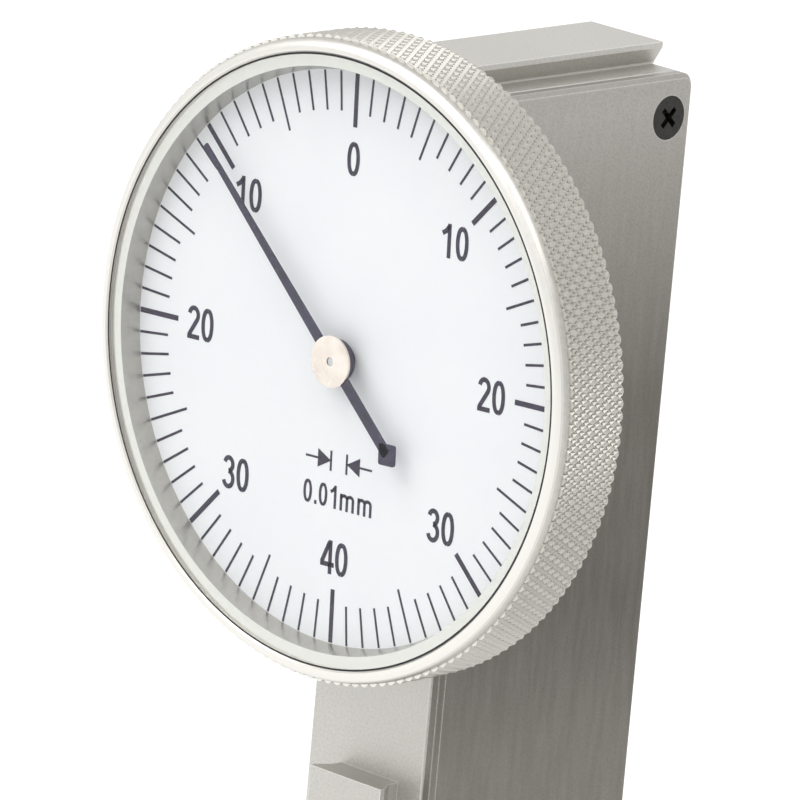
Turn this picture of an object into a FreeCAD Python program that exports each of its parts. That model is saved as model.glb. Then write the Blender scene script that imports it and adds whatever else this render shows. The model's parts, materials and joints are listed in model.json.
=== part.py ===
"""Lever-type dial test indicator with a turning bezel and a three-dovetail body.

Every piece is a solid of its own.  Lengths are millimetres and angles are degrees.
+X points to the side cover, +Y to the back of the body and +Z up.  The origin is the
middle of the top dovetail's flat, where the instrument is clamped.  Pieces are drawn
about one of three centres: the dial centre, the crown gear's axis or the lever's pivot.
"""
import FreeCAD, Part
import math
import os
import re

import Sketcher

# ---------------------------------------------------------------- driving sizes
SIZES = {
    # body, measured from the dial centre
    "body_width": 10.7,            # housing and side cover together
    "body_depth": 17.57,           # front face to back face
    "body_front": 5.36,            # front face, behind the dial datum
    "shoulder_height": 16.58,      # top face above the dial centre
    "slope_top": 31.0,             # where the back starts to slope in, below the centre
    "nose_radius": 4.9,
    "wall": 1.54,                  # front, back and top walls of the hollow
    "left_wall": 1.15,
    "cover_thickness": 0.83,
    "cover_bottom": 42.0,          # lower edge of the side cover, below the centre
    "edge_chamfer": 0.28,
    "seam_chamfer": 0.18,          # along the housing's edge beside the cover
    "corner_round": 0.9,
    "hollow_floor": 38.0,          # floor of the hollow, below the centre
    "hollow_floor_depth": 10.6,    # depth of that floor, front to back
    # dovetail rails
    "rail_width": 6.0,
    "rail_land": 0.35,             # straight band beside the rail's flat
    "rail_flank": 1.0,             # height of the sloping flank
    "rail_angle": 60.0,
    "rail_back_gap": 0.58,         # top rail's end, short of the back face
    "top_rail_neck": 0.12,         # straight neck under the top rail's flank
    "front_rail_neck": 0.73,       # straight neck under the front rail's flank
    "front_rail_top": 26.6,        # below the centre
    "front_rail_length": 14.0,
    "back_rail_top": 13.2,         # above the centre
    "back_rail_length": 43.0,
    # nose and stylus slot
    "nose_half_width": 4.3,
    "nose_shoulder": 42.4,         # below the centre
    "slot_half_width": 2.5,
    "slot_rise": 3.2,              # slot roof above the pivot
    # side cover screws
    "cover_screw_radius": 0.7,
    "cover_screw_head": 1.38,
    "cover_screw_length": 3.4,
    "cover_screw_back": 2.06,      # screw axis to the back face
    "cover_screw_front": 2.1,      # screw axis to the front face
    "cover_screw_top": 2.63,       # screw axis to the top face
    "cover_screw_low": 37.4,       # lower screws, below the centre
    "cover_screw_low_back": 5.6,   # lower back screw axis to the back face
    "boss_radius": 1.7,
    "cross_width": 0.36,
    "cross_span": 1.5,
    "cross_depth": 0.55,
    "cover_screw_turn": 45,        # how far each kind of screw was turned home
    "case_screw_turn": 35,
    "cock_screw_turn": 20,
    # small screws
    "small_screw_radius": 0.5,
    "small_screw_head": 0.9,
    "small_screw_head_depth": 0.4,
    "small_slot_width": 0.25,
    "small_slot_depth": 0.22,
    # bezel and crystal; a minus sign is in front of the datum
    "knurl_radius": 19.65,
    "lip_set_back": 0.2,           # lip inside the knurled rim
    "bezel_lip_front": -1.8,
    "bezel_lip_round": 0.75,
    "knurl_front": -1.04,
    "bezel_back": 3.58,
    "bezel_back_chamfer": 0.25,
    "rim_wall": 1.35,              # rim to the bore behind the dial
    "lip_wall": 0.85,              # lip to the crystal's seat
    "ledge_width": 0.85,           # ledge that the crystal lies on
    "sight_slope": 0.3,            # the sight wall leans in towards the dial by this
    "crystal_back": -1.2,
    "crystal_thickness": 0.5,
    "gasket_width": 0.12,
    "dial_front": 0.15,
    "dial_thickness": 0.4,
    "dial_edge_gap": 0.1,
    "dial_hole": 0.96,
    "retainer_width": 1.3,
    "retainer_thickness": 0.5,
    "retainer_gap": 6.0,
    "clip_gap": 0.6,               # clip ring round the case's hub
    "clip_thickness": 0.5,
    "clip_inset": 0.1,
    "clip_notch": 3.0,
    "clip_notch_depth": 1.0,
    # case that carries the bezel
    "case_front": 1.45,
    "case_flange": 1.1,
    "case_running_gap": 0.08,
    "case_hub_step": 2.7,          # bezel's bore to the hub
    "case_wall": 1.1,
    "case_base": 1.46,
    "case_bore": 2.0,
    "case_screw_across": 3.1,      # half the distance between the case screws, sideways
    "case_screw_down": 9.0,        # half the distance between the case screws, upright
    "friction_ring_gap": 0.8,      # round the case's hub
    "friction_ring_inset": 0.4,    # inside the bezel's bore
    "friction_ring_slack": 0.02,
    # pointer
    "pointer_rest_angle": -48.5,   # from upright, minus is anticlockwise
    "pointer_front": -0.92,
    "pointer_thickness": 0.16,
    "pointer_tip_gap": 1.35,       # tip to the edge of the dial's opening
    "pointer_tip_width": 0.3,
    "pointer_hub_width": 0.68,
    "pointer_hub_radius": 1.2,
    "weight_radius": 6.86,
    "weight_length": 1.28,
    "weight_width": 1.42,
    "cap_radius": 1.58,
    "cap_thickness": 0.14,
    "cap_bore": 0.27,
    "pointer_boss_radius": 1.3,
    "pointer_boss_length": 0.5,
    # jewels and arbors
    "jewel_radius": 0.9,
    "jewel_thickness": 0.6,
    "jewel_clearance": 0.02,
    "arbor_pivot": 0.25,           # radius of every arbor pivot
    "arbor_end_play": 0.08,
    "arbor_hole": 0.45,
    "centre_arbor_radius": 0.45,
    "crown_arbor_radius": 0.55,
    # gear train
    "tooth_module": 0.2,
    "pinion_teeth": 14,
    "crown_teeth": 60,
    "sector_full_teeth": 458,
    "sector_teeth_front": 2,
    "sector_teeth_back": 6,
    "pinion_tooth_share": 0.42,    # tooth thickness as a share of the pitch
    "sector_tooth_share": 0.44,
    "crown_slot_share": 0.62,
    "pressure_angle": 20.0,
    "addendum": 1.0,               # in modules
    "dedendum": 1.25,              # in modules
    "crown_face": 0.8,
    "crown_rim_thickness": 0.75,
    "crown_hub_radius": 1.3,
    "crown_hub_length": 0.7,
    "crown_window_inner": 2.2,
    "crown_window_outer": 4.9,
    "crown_arm_width": 0.9,
    "centre_pinion_length": 1.2,
    "crown_axis_back": 14.5,       # crown axis behind the dial datum
    "sector_pinion_length": 1.4,
    "sector_thickness": 0.8,
    "sector_left": 1.2,            # left face of the sector
    "sector_band": 3.4,
    # bridges
    "bridge_left": 3.05,
    "bridge_thickness": 0.95,
    "bridge_round": 1.7,
    "bridge_corner": 1.36,
    "bridge_screw_grip": 2.0,
    "pillar_radius": 1.5,
    "pillar_height": 8.2,
    "pillar_spread": 3.9,
    "cock_half_width": 1.05,
    "cock_plate": 0.95,
    "cock_foot_bottom": 4.1,
    "cock_foot_top": 9.2,
    "cock_top_thickness": 1.1,
    "cock_rear_front": 9.65,
    "cock_screw_low": 6.2,
    "cock_screw_high": 8.1,
    # hairspring
    "hairspring_front": 7.12,
    "hairspring_height": 0.26,
    "hairspring_strip": 0.07,
    "hairspring_pitch": 0.46,
    "hairspring_turns": 5,
    "collet_radius": 0.8,
    "stud_radius": 0.3,
    # lever and its pivot
    "pivot_back": 10.26,           # pivot axis behind the dial datum
    "lever_hub_radius": 2.1,
    "lever_cheek_gap": 1.2,        # inner face of each cheek from the middle
    "lever_cheek": 0.8,
    "lever_web_bottom": 2.8,
    "lever_web_top": 4.6,
    "lever_web_depth": 3.0,
    "lever_arm_left": 0.4,
    "lever_arm_foot": 3.0,
    "lever_arm_head": 1.9,
    "lever_arm_lean": 1.55,
    "lever_arm_top": 44.6,         # from the pivot
    "lever_hole_radius": 0.45,
    "lever_hole_count": 6,
    "lever_hole_step": 5.4,
    "lever_hole_first": 9.5,
    "rivet_radius": 0.28,
    "rivet_spacing": 1.0,
    "lever_travel": 2.8,
    "axle_radius": 0.6,
    "axle_pivot": 0.3,
    "axle_half_length": 2.3,
    "axle_running_gap": 0.04,
    "pivot_screw_radius": 1.5,
    "pivot_screw_length": 1.7,
    "pivot_screw_socket": 1.2,
    "pivot_socket_spare": 0.1,
    "pivot_slot_width": 0.45,
    "pivot_slot_depth": 0.35,
    # stops and return spring
    "stop_pin_radius": 0.5,
    "stop_pin_height": 9.0,        # below the dial centre
    "stop_pin_grip": 0.7,
    "stop_pin_gap": 0.03,
    "leaf_thickness": 0.14,
    "leaf_half_width": 0.8,
    "leaf_middle": 1.0,
    "leaf_foot_top": 29.0,         # below the dial centre
    "leaf_foot_length": 4.2,
    "leaf_tip": 14.0,              # below the dial centre
    "leaf_curl": 0.3,
    "leaf_screw_drop": 31.4,
    "leaf_screw_grip": 1.15,
    # stylus
    "dial_travel": 0.8,            # stylus travel that sends the pointer once round
    "swivel_hub_radius": 2.3,
    "swivel_half_width": 1.0,
    "swivel_neck_radius": 0.9,
    "swivel_neck_straight": 3.3,   # from the pivot
    "swivel_neck_length": 6.6,
    "swivel_neck_tip": 0.65,
    "washer_radius": 1.6,
    "shank_radius": 0.45,
    "shank_tip_radius": 0.33,
    "shank_grip": 1.6,
    "ball_radius": 1.0,
    "ball_socket": 0.35,
}

# sizes that follow from the driving ones
DERIVED = {
    "half_width": "body_width / 2",
    "body_back": "body_front + body_depth",
    "seam": "half_width - cover_thickness",
    "left_inside": "-half_width + left_wall",
    "front_inside": "body_front + wall",
    "rail_height": "rail_land + rail_flank",
    "rail_root": "rail_width / 2 - rail_flank / tan(rail_angle)",
    "front_rail_height": "rail_height + front_rail_neck",
    "rail_back_end": "body_back - rail_back_gap",
    "mount_back": "(body_front + rail_back_end) / 2",
    "mount_height": "shoulder_height + top_rail_neck + rail_height",
    "crown_radius": "crown_teeth * tooth_module / 2",
    "pinion_pitch": "pinion_teeth * tooth_module / 2",
    "pinion_tip": "pinion_pitch + addendum * tooth_module",
    "sector_radius": "sector_full_teeth * tooth_module / 2",
    "pivot_centres": "sector_radius + pinion_pitch",
    "pivot_ahead": "crown_axis_back - pivot_back",
    "pivot_drop": "sqrt(pivot_centres^2 - pivot_ahead^2)",
    "contact_angle": "asin(pivot_ahead / pivot_centres) / 1 deg",
    "stylus_reach": "dial_travel * sector_full_teeth * crown_teeth / (pinion_teeth^2 * 2 * pi)",
    "bezel_lip_radius": "knurl_radius - lip_set_back",
    "bezel_bore": "knurl_radius - rim_wall",
    "crystal_bore": "bezel_lip_radius - lip_wall",
    "crystal_ledge": "crystal_bore - ledge_width",
    "dial_opening": "crystal_ledge - sight_slope",
    "crystal_front": "crystal_back - crystal_thickness",
    "crystal_radius": "crystal_bore - gasket_width",
    "dial_back": "dial_front + dial_thickness",
    "case_flange_radius": "bezel_bore - case_running_gap",
    "case_flange_back": "case_front + case_flange",
    "case_hub": "bezel_bore - case_hub_step",
    "case_recess": "case_hub - case_wall",
    "case_base_front": "body_front - case_base",
    "clip_back": "bezel_back - clip_inset",
    "clip_front": "clip_back - clip_thickness",
    "clip_inner": "case_hub + clip_gap",
    "friction_ring_inner": "case_hub + friction_ring_gap",
    "friction_ring_outer": "bezel_bore - friction_ring_inset",
    "pointer_tip_radius": "dial_opening - pointer_tip_gap",
    "pointer_back": "pointer_front + pointer_thickness",
    "jewel_bore": "arbor_pivot + jewel_clearance",
    "cock_rear_back": "cock_rear_front + cock_plate",
    "bridge_right": "bridge_left + bridge_thickness",
    "crown_tip": "-pinion_pitch + addendum * tooth_module",
    "crown_root": "-pinion_pitch - dedendum * tooth_module",
    "crown_rim_back": "crown_root - crown_rim_thickness",
    "crown_rim_inner": "crown_radius - crown_face / 2",
    "crown_rim_outer": "crown_radius + crown_face / 2",
    "centre_pinion_front": "crown_axis_back - crown_radius - centre_pinion_length / 2",
    "screw_back": "body_back - cover_screw_back",
    "screw_front": "body_front + cover_screw_front",
    "screw_top": "shoulder_height - cover_screw_top",
    "screw_low_back": "body_back - cover_screw_low_back",
}


def formula(text):
    """Write a size rule in the sheet's own names, with derived sizes spelt out."""
    def spell(match):
        word = match.group()
        if word in DERIVED:
            return "(" + formula(DERIVED[word]) + ")"
        return "Sizes." + word if word in SIZES else word
    return re.sub(r"[A-Za-z_]\w*", spell, str(text))


doc = FreeCAD.newDocument("DialTestIndicator")
sheet = doc.addObject("Spreadsheet::Sheet", "Sizes")
for row, (alias, value) in enumerate(SIZES.items(), start=1):
    sheet.set("A%d" % row, alias)
    sheet.set("B%d" % row, str(value))
    sheet.setAlias("B%d" % row, alias)
doc.recompute()


def size(text):
    """The number that a size rule gives now."""
    value = sheet.evalExpression(formula(text))
    return float(getattr(value, "Value", value))


# ---------------------------------------------------------------- drawing helpers
NODES = []
DIAL = ("0", "0", "0")
CROWN = ("0", "crown_axis_back", "0")
PIVOT = ("0", "pivot_back", "-pivot_drop")
NORMAL_SIGN = {"XY_Plane": 1, "XZ_Plane": -1, "YZ_Plane": 1}
TURNING = {"X": ("XZ_Plane", "H_Axis"), "Y": ("XY_Plane", "V_Axis"), "Z": ("XZ_Plane", "V_Axis")}


def stand(piece, centre, axis=(1, 0, 0), angle="0"):
    """Set a piece down on its centre, turned about an axis through it."""
    x, y, z = centre
    piece.Placement = FreeCAD.Placement(FreeCAD.Vector(), FreeCAD.Rotation(FreeCAD.Vector(*axis), 1))
    piece.setExpression("Placement.Base.x", formula(x))
    piece.setExpression("Placement.Base.y", formula("%s - mount_back" % y))
    piece.setExpression("Placement.Base.z", formula("%s - mount_height" % z))
    piece.setExpression("Placement.Rotation.Angle", formula(angle))


def new_body(label, centre, axis=(1, 0, 0), angle="0", kept=True):
    body = doc.addObject("PartDesign::Body", label)
    body.Label = label
    stand(body, centre, axis, angle)
    if kept:
        NODES.append(body)
    return body


def new_sketch(body, name, plane, level="0"):
    """A sketch parallel to one of the body's own origin planes, at a level along its axis."""
    sketch = body.newObject("Sketcher::SketchObject", name)
    support = [item for item in body.Origin.OriginFeatures if item.Role == plane][0]
    sketch.AttachmentSupport = [(support, "")]
    sketch.MapMode = "FlatFace"
    sketch.setExpression("AttachmentOffset.Base.z", formula("%d * (%s)" % (NORMAL_SIGN[plane], level)))
    return sketch


def pin_point(sketch, geometry, end, x, y):
    """Hold one point of a sketch at a named place."""
    for kind, text in (("DistanceX", x), ("DistanceY", y)):
        index = sketch.addConstraint(Sketcher.Constraint(kind, -1, 1, geometry, end, size(text)))
        sketch.setExpression("Constraints[%d]" % index, formula(text))


def draw_outline(sketch, corners):
    """A closed outline of straight lines through named corners."""
    points = [FreeCAD.Vector(size(x), size(y), 0) for x, y in corners]
    first = sketch.GeometryCount
    count = len(points)
    for i in range(count):
        sketch.addGeometry(Part.LineSegment(points[i], points[(i + 1) % count]))
    for i in range(count):
        here, after = first + i, first + (i + 1) % count
        sketch.addConstraint(Sketcher.Constraint("Coincident", here, 2, after, 1))
    for i, (x, y) in enumerate(corners):
        pin_point(sketch, first + i, 1, x, y)


def draw_circle(sketch, x, y, radius):
    centre = FreeCAD.Vector(size(x), size(y), 0)
    circle = sketch.addGeometry(Part.Circle(centre, FreeCAD.Vector(0, 0, 1), size(radius)))
    pin_point(sketch, circle, 3, x, y)
    index = sketch.addConstraint(Sketcher.Constraint("Radius", circle, size(radius)))
    sketch.setExpression("Constraints[%d]" % index, formula(radius))


def plane_of(sketch):
    return sketch.AttachmentSupport[0][0].Role


def add_pad(body, sketch, length, towards=1):
    """Pad a sketch by a length, towards the plus or the minus end of its axis."""
    pad = body.newObject("PartDesign::Pad", sketch.Name + "_pad")
    pad.Profile = sketch
    pad.setExpression("Length", formula(length))
    pad.Reversed = towards * NORMAL_SIGN[plane_of(sketch)] < 0
    sketch.Visibility = False
    return pad


def cut_pocket(body, sketch, length, towards=1):
    """Cut a sketch by a length, towards the plus or the minus end of its axis."""
    doc.recompute()
    before = body.Shape.Volume
    pocket = body.newObject("PartDesign::Pocket", sketch.Name + "_pocket")
    pocket.Profile = sketch
    pocket.setExpression("Length", formula(length))
    pocket.Reversed = towards * NORMAL_SIGN[plane_of(sketch)] > 0
    doc.recompute()
    if not body.Shape.Volume < before:
        raise RuntimeError("%s cuts nothing" % pocket.Name)
    return pocket


def turn(body, name, axis, corners):
    """A solid of revolution.  Corners are (radius, along), or (along, radius) about X."""
    plane, reference = TURNING[axis]
    sketch = new_sketch(body, name, plane)
    draw_outline(sketch, corners)
    solid = body.newObject("PartDesign::Revolution", name + "_turned")
    solid.Profile = sketch
    solid.ReferenceAxis = (sketch, [reference])
    solid.Angle = 360
    return solid


def edge_names(shape, wanted, across_only):
    """Names of the edges whose points all pass a test, or only those that run along X."""
    names = []
    for i, edge in enumerate(shape.Edges, start=1):
        points = edge.discretize(5)
        first, last = points[0], points[-1]
        across = near(first.y, last.y) and near(first.z, last.z)
        if all(wanted(point) for point in points) and (across or not across_only):
            names.append("Edge%d" % i)
    return names


def dress_edges(body, kind, name, amount, wanted, across_only=False):
    """Fillet or chamfer the edges that pass a test."""
    doc.recompute()
    base = body.Tip
    names = edge_names(base.Shape, wanted, across_only)
    if not names:
        raise RuntimeError("%s finds no edge" % name)
    dress = body.newObject("PartDesign::" + kind, name)
    dress.Base = (base, names)
    dress.setExpression("Radius" if kind == "Fillet" else "Size", formula(amount))
    doc.recompute()
    return dress


def near(a, b):
    return abs(a - b) < 1e-5


def on_circle(radius, level):
    """Test for a circular edge about Y."""
    return lambda p: near(math.hypot(p.x, p.z), size(radius)) and near(p.y, size(level))


def disc(label, centre, radius, front, thickness, bore=None, axis_plane="XZ_Plane"):
    """A flat round piece about the dial axis, with an optional bore."""
    body = new_body(label, centre)
    sketch = new_sketch(body, label + "_outline", axis_plane, front)
    draw_circle(sketch, "0", "0", radius)
    if bore:
        draw_circle(sketch, "0", "0", bore)
    add_pad(body, sketch, thickness)
    return body


def shape_feature(label, shape, centre, axis=(1, 0, 0), angle="0", kept=True):
    """A piece whose outline is a curve that sketches do not hold, such as gear teeth."""
    feature = doc.addObject("Part::Feature", label)
    feature.Label = label
    feature.Shape = shape
    stand(feature, centre, axis, angle)
    if kept:
        NODES.append(feature)
    return feature


def group(label, template, places):
    """Identical pieces in one node: copies of a template at (centre, axis, angle) places."""
    doc.recompute()
    copies = []
    for centre, axis, angle in places:
        copy = template.Shape.copy()
        spot = FreeCAD.Vector(*[size(value) for value in centre])
        copy.Placement = FreeCAD.Placement(spot, FreeCAD.Rotation(FreeCAD.Vector(*axis), size(angle)))
        copies.append(copy)
    return shape_feature(label, Part.makeCompound(copies), DIAL)


def template_body(label):
    """A body that only lends its shape to a group."""
    body = doc.addObject("PartDesign::Body", label)
    body.Label = label
    return body


# ---------------------------------------------------------------- housing
def rail_corners(root, outward, neck="0"):
    """Dovetail section: sideways against the outward direction from its root face."""
    def level(rise):
        return "%s + %d * (%s)" % (root, outward, rise)
    half = "rail_width / 2"
    side = [("rail_root", level("0"))]
    if neck != "0":
        side.append(("rail_root", level(neck)))
    side.append((half, level("%s + rail_flank" % neck)))
    side.append((half, level("%s + rail_height" % neck)))
    mirrored = [("-(%s)" % x, y) for x, y in reversed(side)]
    return side + mirrored


def draw_side_profile(sketch, bottom=None):
    """The body from the side.  Without a bottom it ends in the round nose."""
    front, back = size("body_front"), size("body_back")
    top, slope = size("shoulder_height"), -size("slope_top")
    pivot = FreeCAD.Vector(size("pivot_back"), -size("pivot_drop"), 0)
    nose = size("nose_radius")
    run = math.hypot(back - pivot.x, slope - pivot.y)
    heading = math.atan2(slope - pivot.y, back - pivot.x) - math.acos(nose / run)
    touch = pivot + FreeCAD.Vector(math.cos(heading), math.sin(heading), 0) * nose
    corner = FreeCAD.Vector(back, slope, 0)
    if bottom is None:
        low_front = FreeCAD.Vector(front, pivot.y, 0)
        low_back = touch
    else:
        low_front = FreeCAD.Vector(front, size(bottom), 0)
        share = (size(bottom) - slope) / (touch.y - slope)
        low_back = corner + (touch - corner) * share
    lines = [
        (FreeCAD.Vector(front, top, 0), low_front),
        (low_back, corner),
        (corner, FreeCAD.Vector(back, top, 0)),
        (FreeCAD.Vector(back, top, 0), FreeCAD.Vector(front, top, 0)),
    ]
    for start, end in lines:
        sketch.addGeometry(Part.LineSegment(start, end))
    circle = Part.Circle(pivot, FreeCAD.Vector(0, 0, 1), nose)
    if bottom is None:
        arc = sketch.addGeometry(Part.ArcOfCircle(circle, math.pi, heading + 2 * math.pi))
        sketch.addConstraint(Sketcher.Constraint("Tangent", 0, 2, arc, 1))
        sketch.addConstraint(Sketcher.Constraint("Tangent", arc, 2, 1, 1))
    else:
        arc = sketch.addGeometry(circle, True)
        sketch.addGeometry(Part.LineSegment(low_front, low_back))
        sketch.addConstraint(Sketcher.Constraint("Coincident", 0, 2, 5, 1))
        sketch.addConstraint(Sketcher.Constraint("Coincident", 5, 2, 1, 1))
        sketch.addConstraint(Sketcher.Constraint("Tangent", 1, arc))
        sketch.addConstraint(Sketcher.Constraint("Horizontal", 5))
    for a, b in ((1, 2), (2, 3), (3, 0)):
        sketch.addConstraint(Sketcher.Constraint("Coincident", a, 2, b, 1))
    pin_point(sketch, 0, 1, "body_front", "shoulder_height")
    pin_point(sketch, 2, 2, "body_back", "shoulder_height")
    pin_point(sketch, 1, 2, "body_back", "-slope_top")
    if bottom is None:
        pin_point(sketch, arc, 3, "pivot_back", "-pivot_drop")
        sketch.addConstraint(Sketcher.Constraint("Vertical", 0))
    else:
        pin_point(sketch, arc, 3, "pivot_back", "-pivot_drop")
        index = sketch.addConstraint(Sketcher.Constraint("Radius", arc, nose))
        sketch.setExpression("Constraints[%d]" % index, formula("nose_radius"))
        pin_point(sketch, 5, 1, "body_front", bottom)


COVER_SCREWS = (
    ("screw_back", "screw_top"),
    ("screw_front", "screw_top"),
    ("screw_low_back", "-cover_screw_low"),
    ("screw_front", "-cover_screw_low"),
)
PILLARS = (("crown_axis_back - pillar_spread", "pillar_height"), ("crown_axis_back + pillar_spread", "pillar_height"))
CASE_SCREWS = tuple(
    ("%s * case_screw_across" % across, "%s * case_screw_down" % down)
    for across in ("-1", "1") for down in ("-1", "1")
)
COCK_SCREWS = (("0", "cock_screw_low"), ("0", "cock_screw_high"))


def stop_pin_spots():
    """The rest stop behind the arm and the end stop ahead of it, in side view."""
    drop = "(pivot_drop - stop_pin_height)"
    rest = "(contact_angle + lever_arm_lean)"
    spots = []
    for angle, side in ((rest, 1), ("(%s - lever_travel)" % rest, -1)):
        across = "(lever_arm_foot + (lever_arm_head - lever_arm_foot) * %s / lever_arm_top) / 2" % drop
        offset = "%d * (%s + stop_pin_gap) / cos(%s) + %d * stop_pin_radius" % (side, across, angle, side)
        spots.append(("pivot_back + %s * tan(%s) + %s" % (drop, angle, offset), "-stop_pin_height"))
    return spots


def make_housing():
    body = new_body("housing", DIAL)
    side = new_sketch(body, "housing_side", "YZ_Plane", "-half_width")
    draw_side_profile(side)
    add_pad(body, side, "half_width + seam")
    dress_edges(body, "Fillet", "housing_corner", "corner_round",
                lambda p: near(p.y, size("body_back")) and near(p.z, size("shoulder_height")))
    dress_edges(body, "Chamfer", "housing_edges", "edge_chamfer",
                lambda p: near(p.x, -size("half_width")))
    dress_edges(body, "Chamfer", "housing_seam", "seam_chamfer", lambda p: near(p.x, size("seam")))
    # dovetail rails on the top, the front and the back
    rail = new_sketch(body, "top_rail", "XZ_Plane", "body_front")
    draw_outline(rail, rail_corners("shoulder_height", 1, "top_rail_neck"))
    add_pad(body, rail, "rail_back_end - body_front")
    rail = new_sketch(body, "front_rail", "XY_Plane", "-front_rail_top")
    draw_outline(rail, rail_corners("body_front", -1, "front_rail_neck"))
    add_pad(body, rail, "front_rail_length", -1)
    rail = new_sketch(body, "back_rail", "XY_Plane", "back_rail_top")
    draw_outline(rail, rail_corners("body_back", 1))
    add_pad(body, rail, "back_rail_length", -1)
    # hollow for the movement, open to the side cover
    hollow = new_sketch(body, "hollow", "YZ_Plane", "seam")
    draw_outline(hollow, [
        ("front_inside", "shoulder_height - wall"),
        ("body_back - wall", "shoulder_height - wall"),
        ("body_back - wall", "-slope_top - wall / 2"),
        ("front_inside + hollow_floor_depth", "-hollow_floor"),
        ("front_inside", "-hollow_floor"),
    ])
    cut_pocket(body, hollow, "seam - left_inside", -1)
    bosses = new_sketch(body, "screw_bosses", "YZ_Plane", "left_inside")
    for y, z in COVER_SCREWS:
        draw_circle(bosses, y, z, "boss_radius")
    add_pad(body, bosses, "seam - left_inside")
    pillars = new_sketch(body, "bridge_pillars", "YZ_Plane", "left_inside")
    for y, z in PILLARS:
        draw_circle(pillars, y, z, "pillar_radius")
    add_pad(body, pillars, "bridge_left - left_inside")
    # nose: narrower ears, the stylus slot and the lever's way up into the hollow
    for name, outer, inner in (("left", "-half_width", "-nose_half_width"),
                               ("right", "half_width", "nose_half_width")):
        relief = new_sketch(body, "nose_%s" % name, "XZ_Plane", "0")
        draw_outline(relief, [
            (outer, "-nose_shoulder + half_width - nose_half_width"),
            (inner, "-nose_shoulder"),
            (inner, "-pivot_drop - 2 * nose_radius"),
            (outer, "-pivot_drop - 2 * nose_radius"),
        ])
        cut_pocket(body, relief, "body_back")
    slot = new_sketch(body, "stylus_slot", "XZ_Plane", "0")
    draw_outline(slot, [
        ("-slot_half_width", "-pivot_drop + slot_rise"),
        ("slot_half_width", "-pivot_drop + slot_rise"),
        ("slot_half_width", "-pivot_drop - 2 * nose_radius"),
        ("-slot_half_width", "-pivot_drop - 2 * nose_radius"),
    ])
    cut_pocket(body, slot, "body_back")
    way = new_sketch(body, "lever_way", "XY_Plane", "-hollow_floor")
    draw_outline(way, [
        ("-slot_half_width", "front_inside"),
        ("slot_half_width", "front_inside"),
        ("slot_half_width", "pivot_back + nose_radius"),
        ("-slot_half_width", "pivot_back + nose_radius"),
    ])
    cut_pocket(body, way, "pivot_drop - slot_rise - hollow_floor", -1)
    pivots = new_sketch(body, "pivot_holes", "YZ_Plane", "-nose_half_width")
    draw_circle(pivots, "pivot_back", "-pivot_drop", "pivot_screw_radius")
    cut_pocket(body, pivots, "2 * nose_half_width")
    # screw holes and bearing seats
    holes = new_sketch(body, "cover_screw_holes", "YZ_Plane", "seam")
    for y, z in COVER_SCREWS:
        draw_circle(holes, y, z, "cover_screw_radius")
    cut_pocket(body, holes, "cover_screw_length", -1)
    holes = new_sketch(body, "bridge_screw_holes", "YZ_Plane", "bridge_left")
    for y, z in PILLARS:
        draw_circle(holes, y, z, "small_screw_radius")
    cut_pocket(body, holes, "bridge_screw_grip", -1)
    holes = new_sketch(body, "front_wall_holes", "XZ_Plane", "body_front")
    for x, z in CASE_SCREWS + COCK_SCREWS:
        draw_circle(holes, x, z, "small_screw_radius")
    draw_circle(holes, "0", "0", "arbor_hole")
    cut_pocket(body, holes, "wall")
    heads = new_sketch(body, "cock_screw_heads", "XZ_Plane", "body_front")
    for x, z in COCK_SCREWS:
        draw_circle(heads, x, z, "small_screw_head")
    cut_pocket(body, heads, "small_screw_head_depth")
    seat = new_sketch(body, "front_jewel_seat", "XZ_Plane", "front_inside")
    draw_circle(seat, "0", "0", "jewel_radius")
    cut_pocket(body, seat, "jewel_thickness", -1)
    seat = new_sketch(body, "left_jewel_seat", "YZ_Plane", "left_inside")
    draw_circle(seat, "crown_axis_back", "0", "jewel_radius")
    cut_pocket(body, seat, "jewel_thickness", -1)
    seat = new_sketch(body, "stop_pin_holes", "YZ_Plane", "left_inside")
    for y, z in stop_pin_spots():
        draw_circle(seat, y, z, "stop_pin_radius")
    cut_pocket(body, seat, "stop_pin_grip", -1)
    seat = new_sketch(body, "leaf_screw_hole", "XZ_Plane", "front_inside")
    draw_circle(seat, "leaf_middle", "-leaf_screw_drop", "small_screw_radius")
    cut_pocket(body, seat, "leaf_screw_grip", -1)
    return body


def make_side_cover():
    body = new_body("side_cover", DIAL)
    side = new_sketch(body, "cover_side", "YZ_Plane", "seam")
    draw_side_profile(side, "-cover_bottom")
    add_pad(body, side, "cover_thickness")
    dress_edges(body, "Fillet", "cover_corner", "corner_round",
                lambda p: near(p.y, size("body_back")) and near(p.z, size("shoulder_height")))
    dress_edges(body, "Chamfer", "cover_edges", "edge_chamfer",
                lambda p: near(p.x, size("half_width")))
    holes = new_sketch(body, "cover_holes", "YZ_Plane", "half_width")
    for y, z in COVER_SCREWS:
        draw_circle(holes, y, z, "cover_screw_head")
    cut_pocket(body, holes, "cover_thickness", -1).setExpression(
        "TaperAngle", formula("-atan((cover_screw_head - cover_screw_radius) / cover_thickness)"))
    return body


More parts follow.
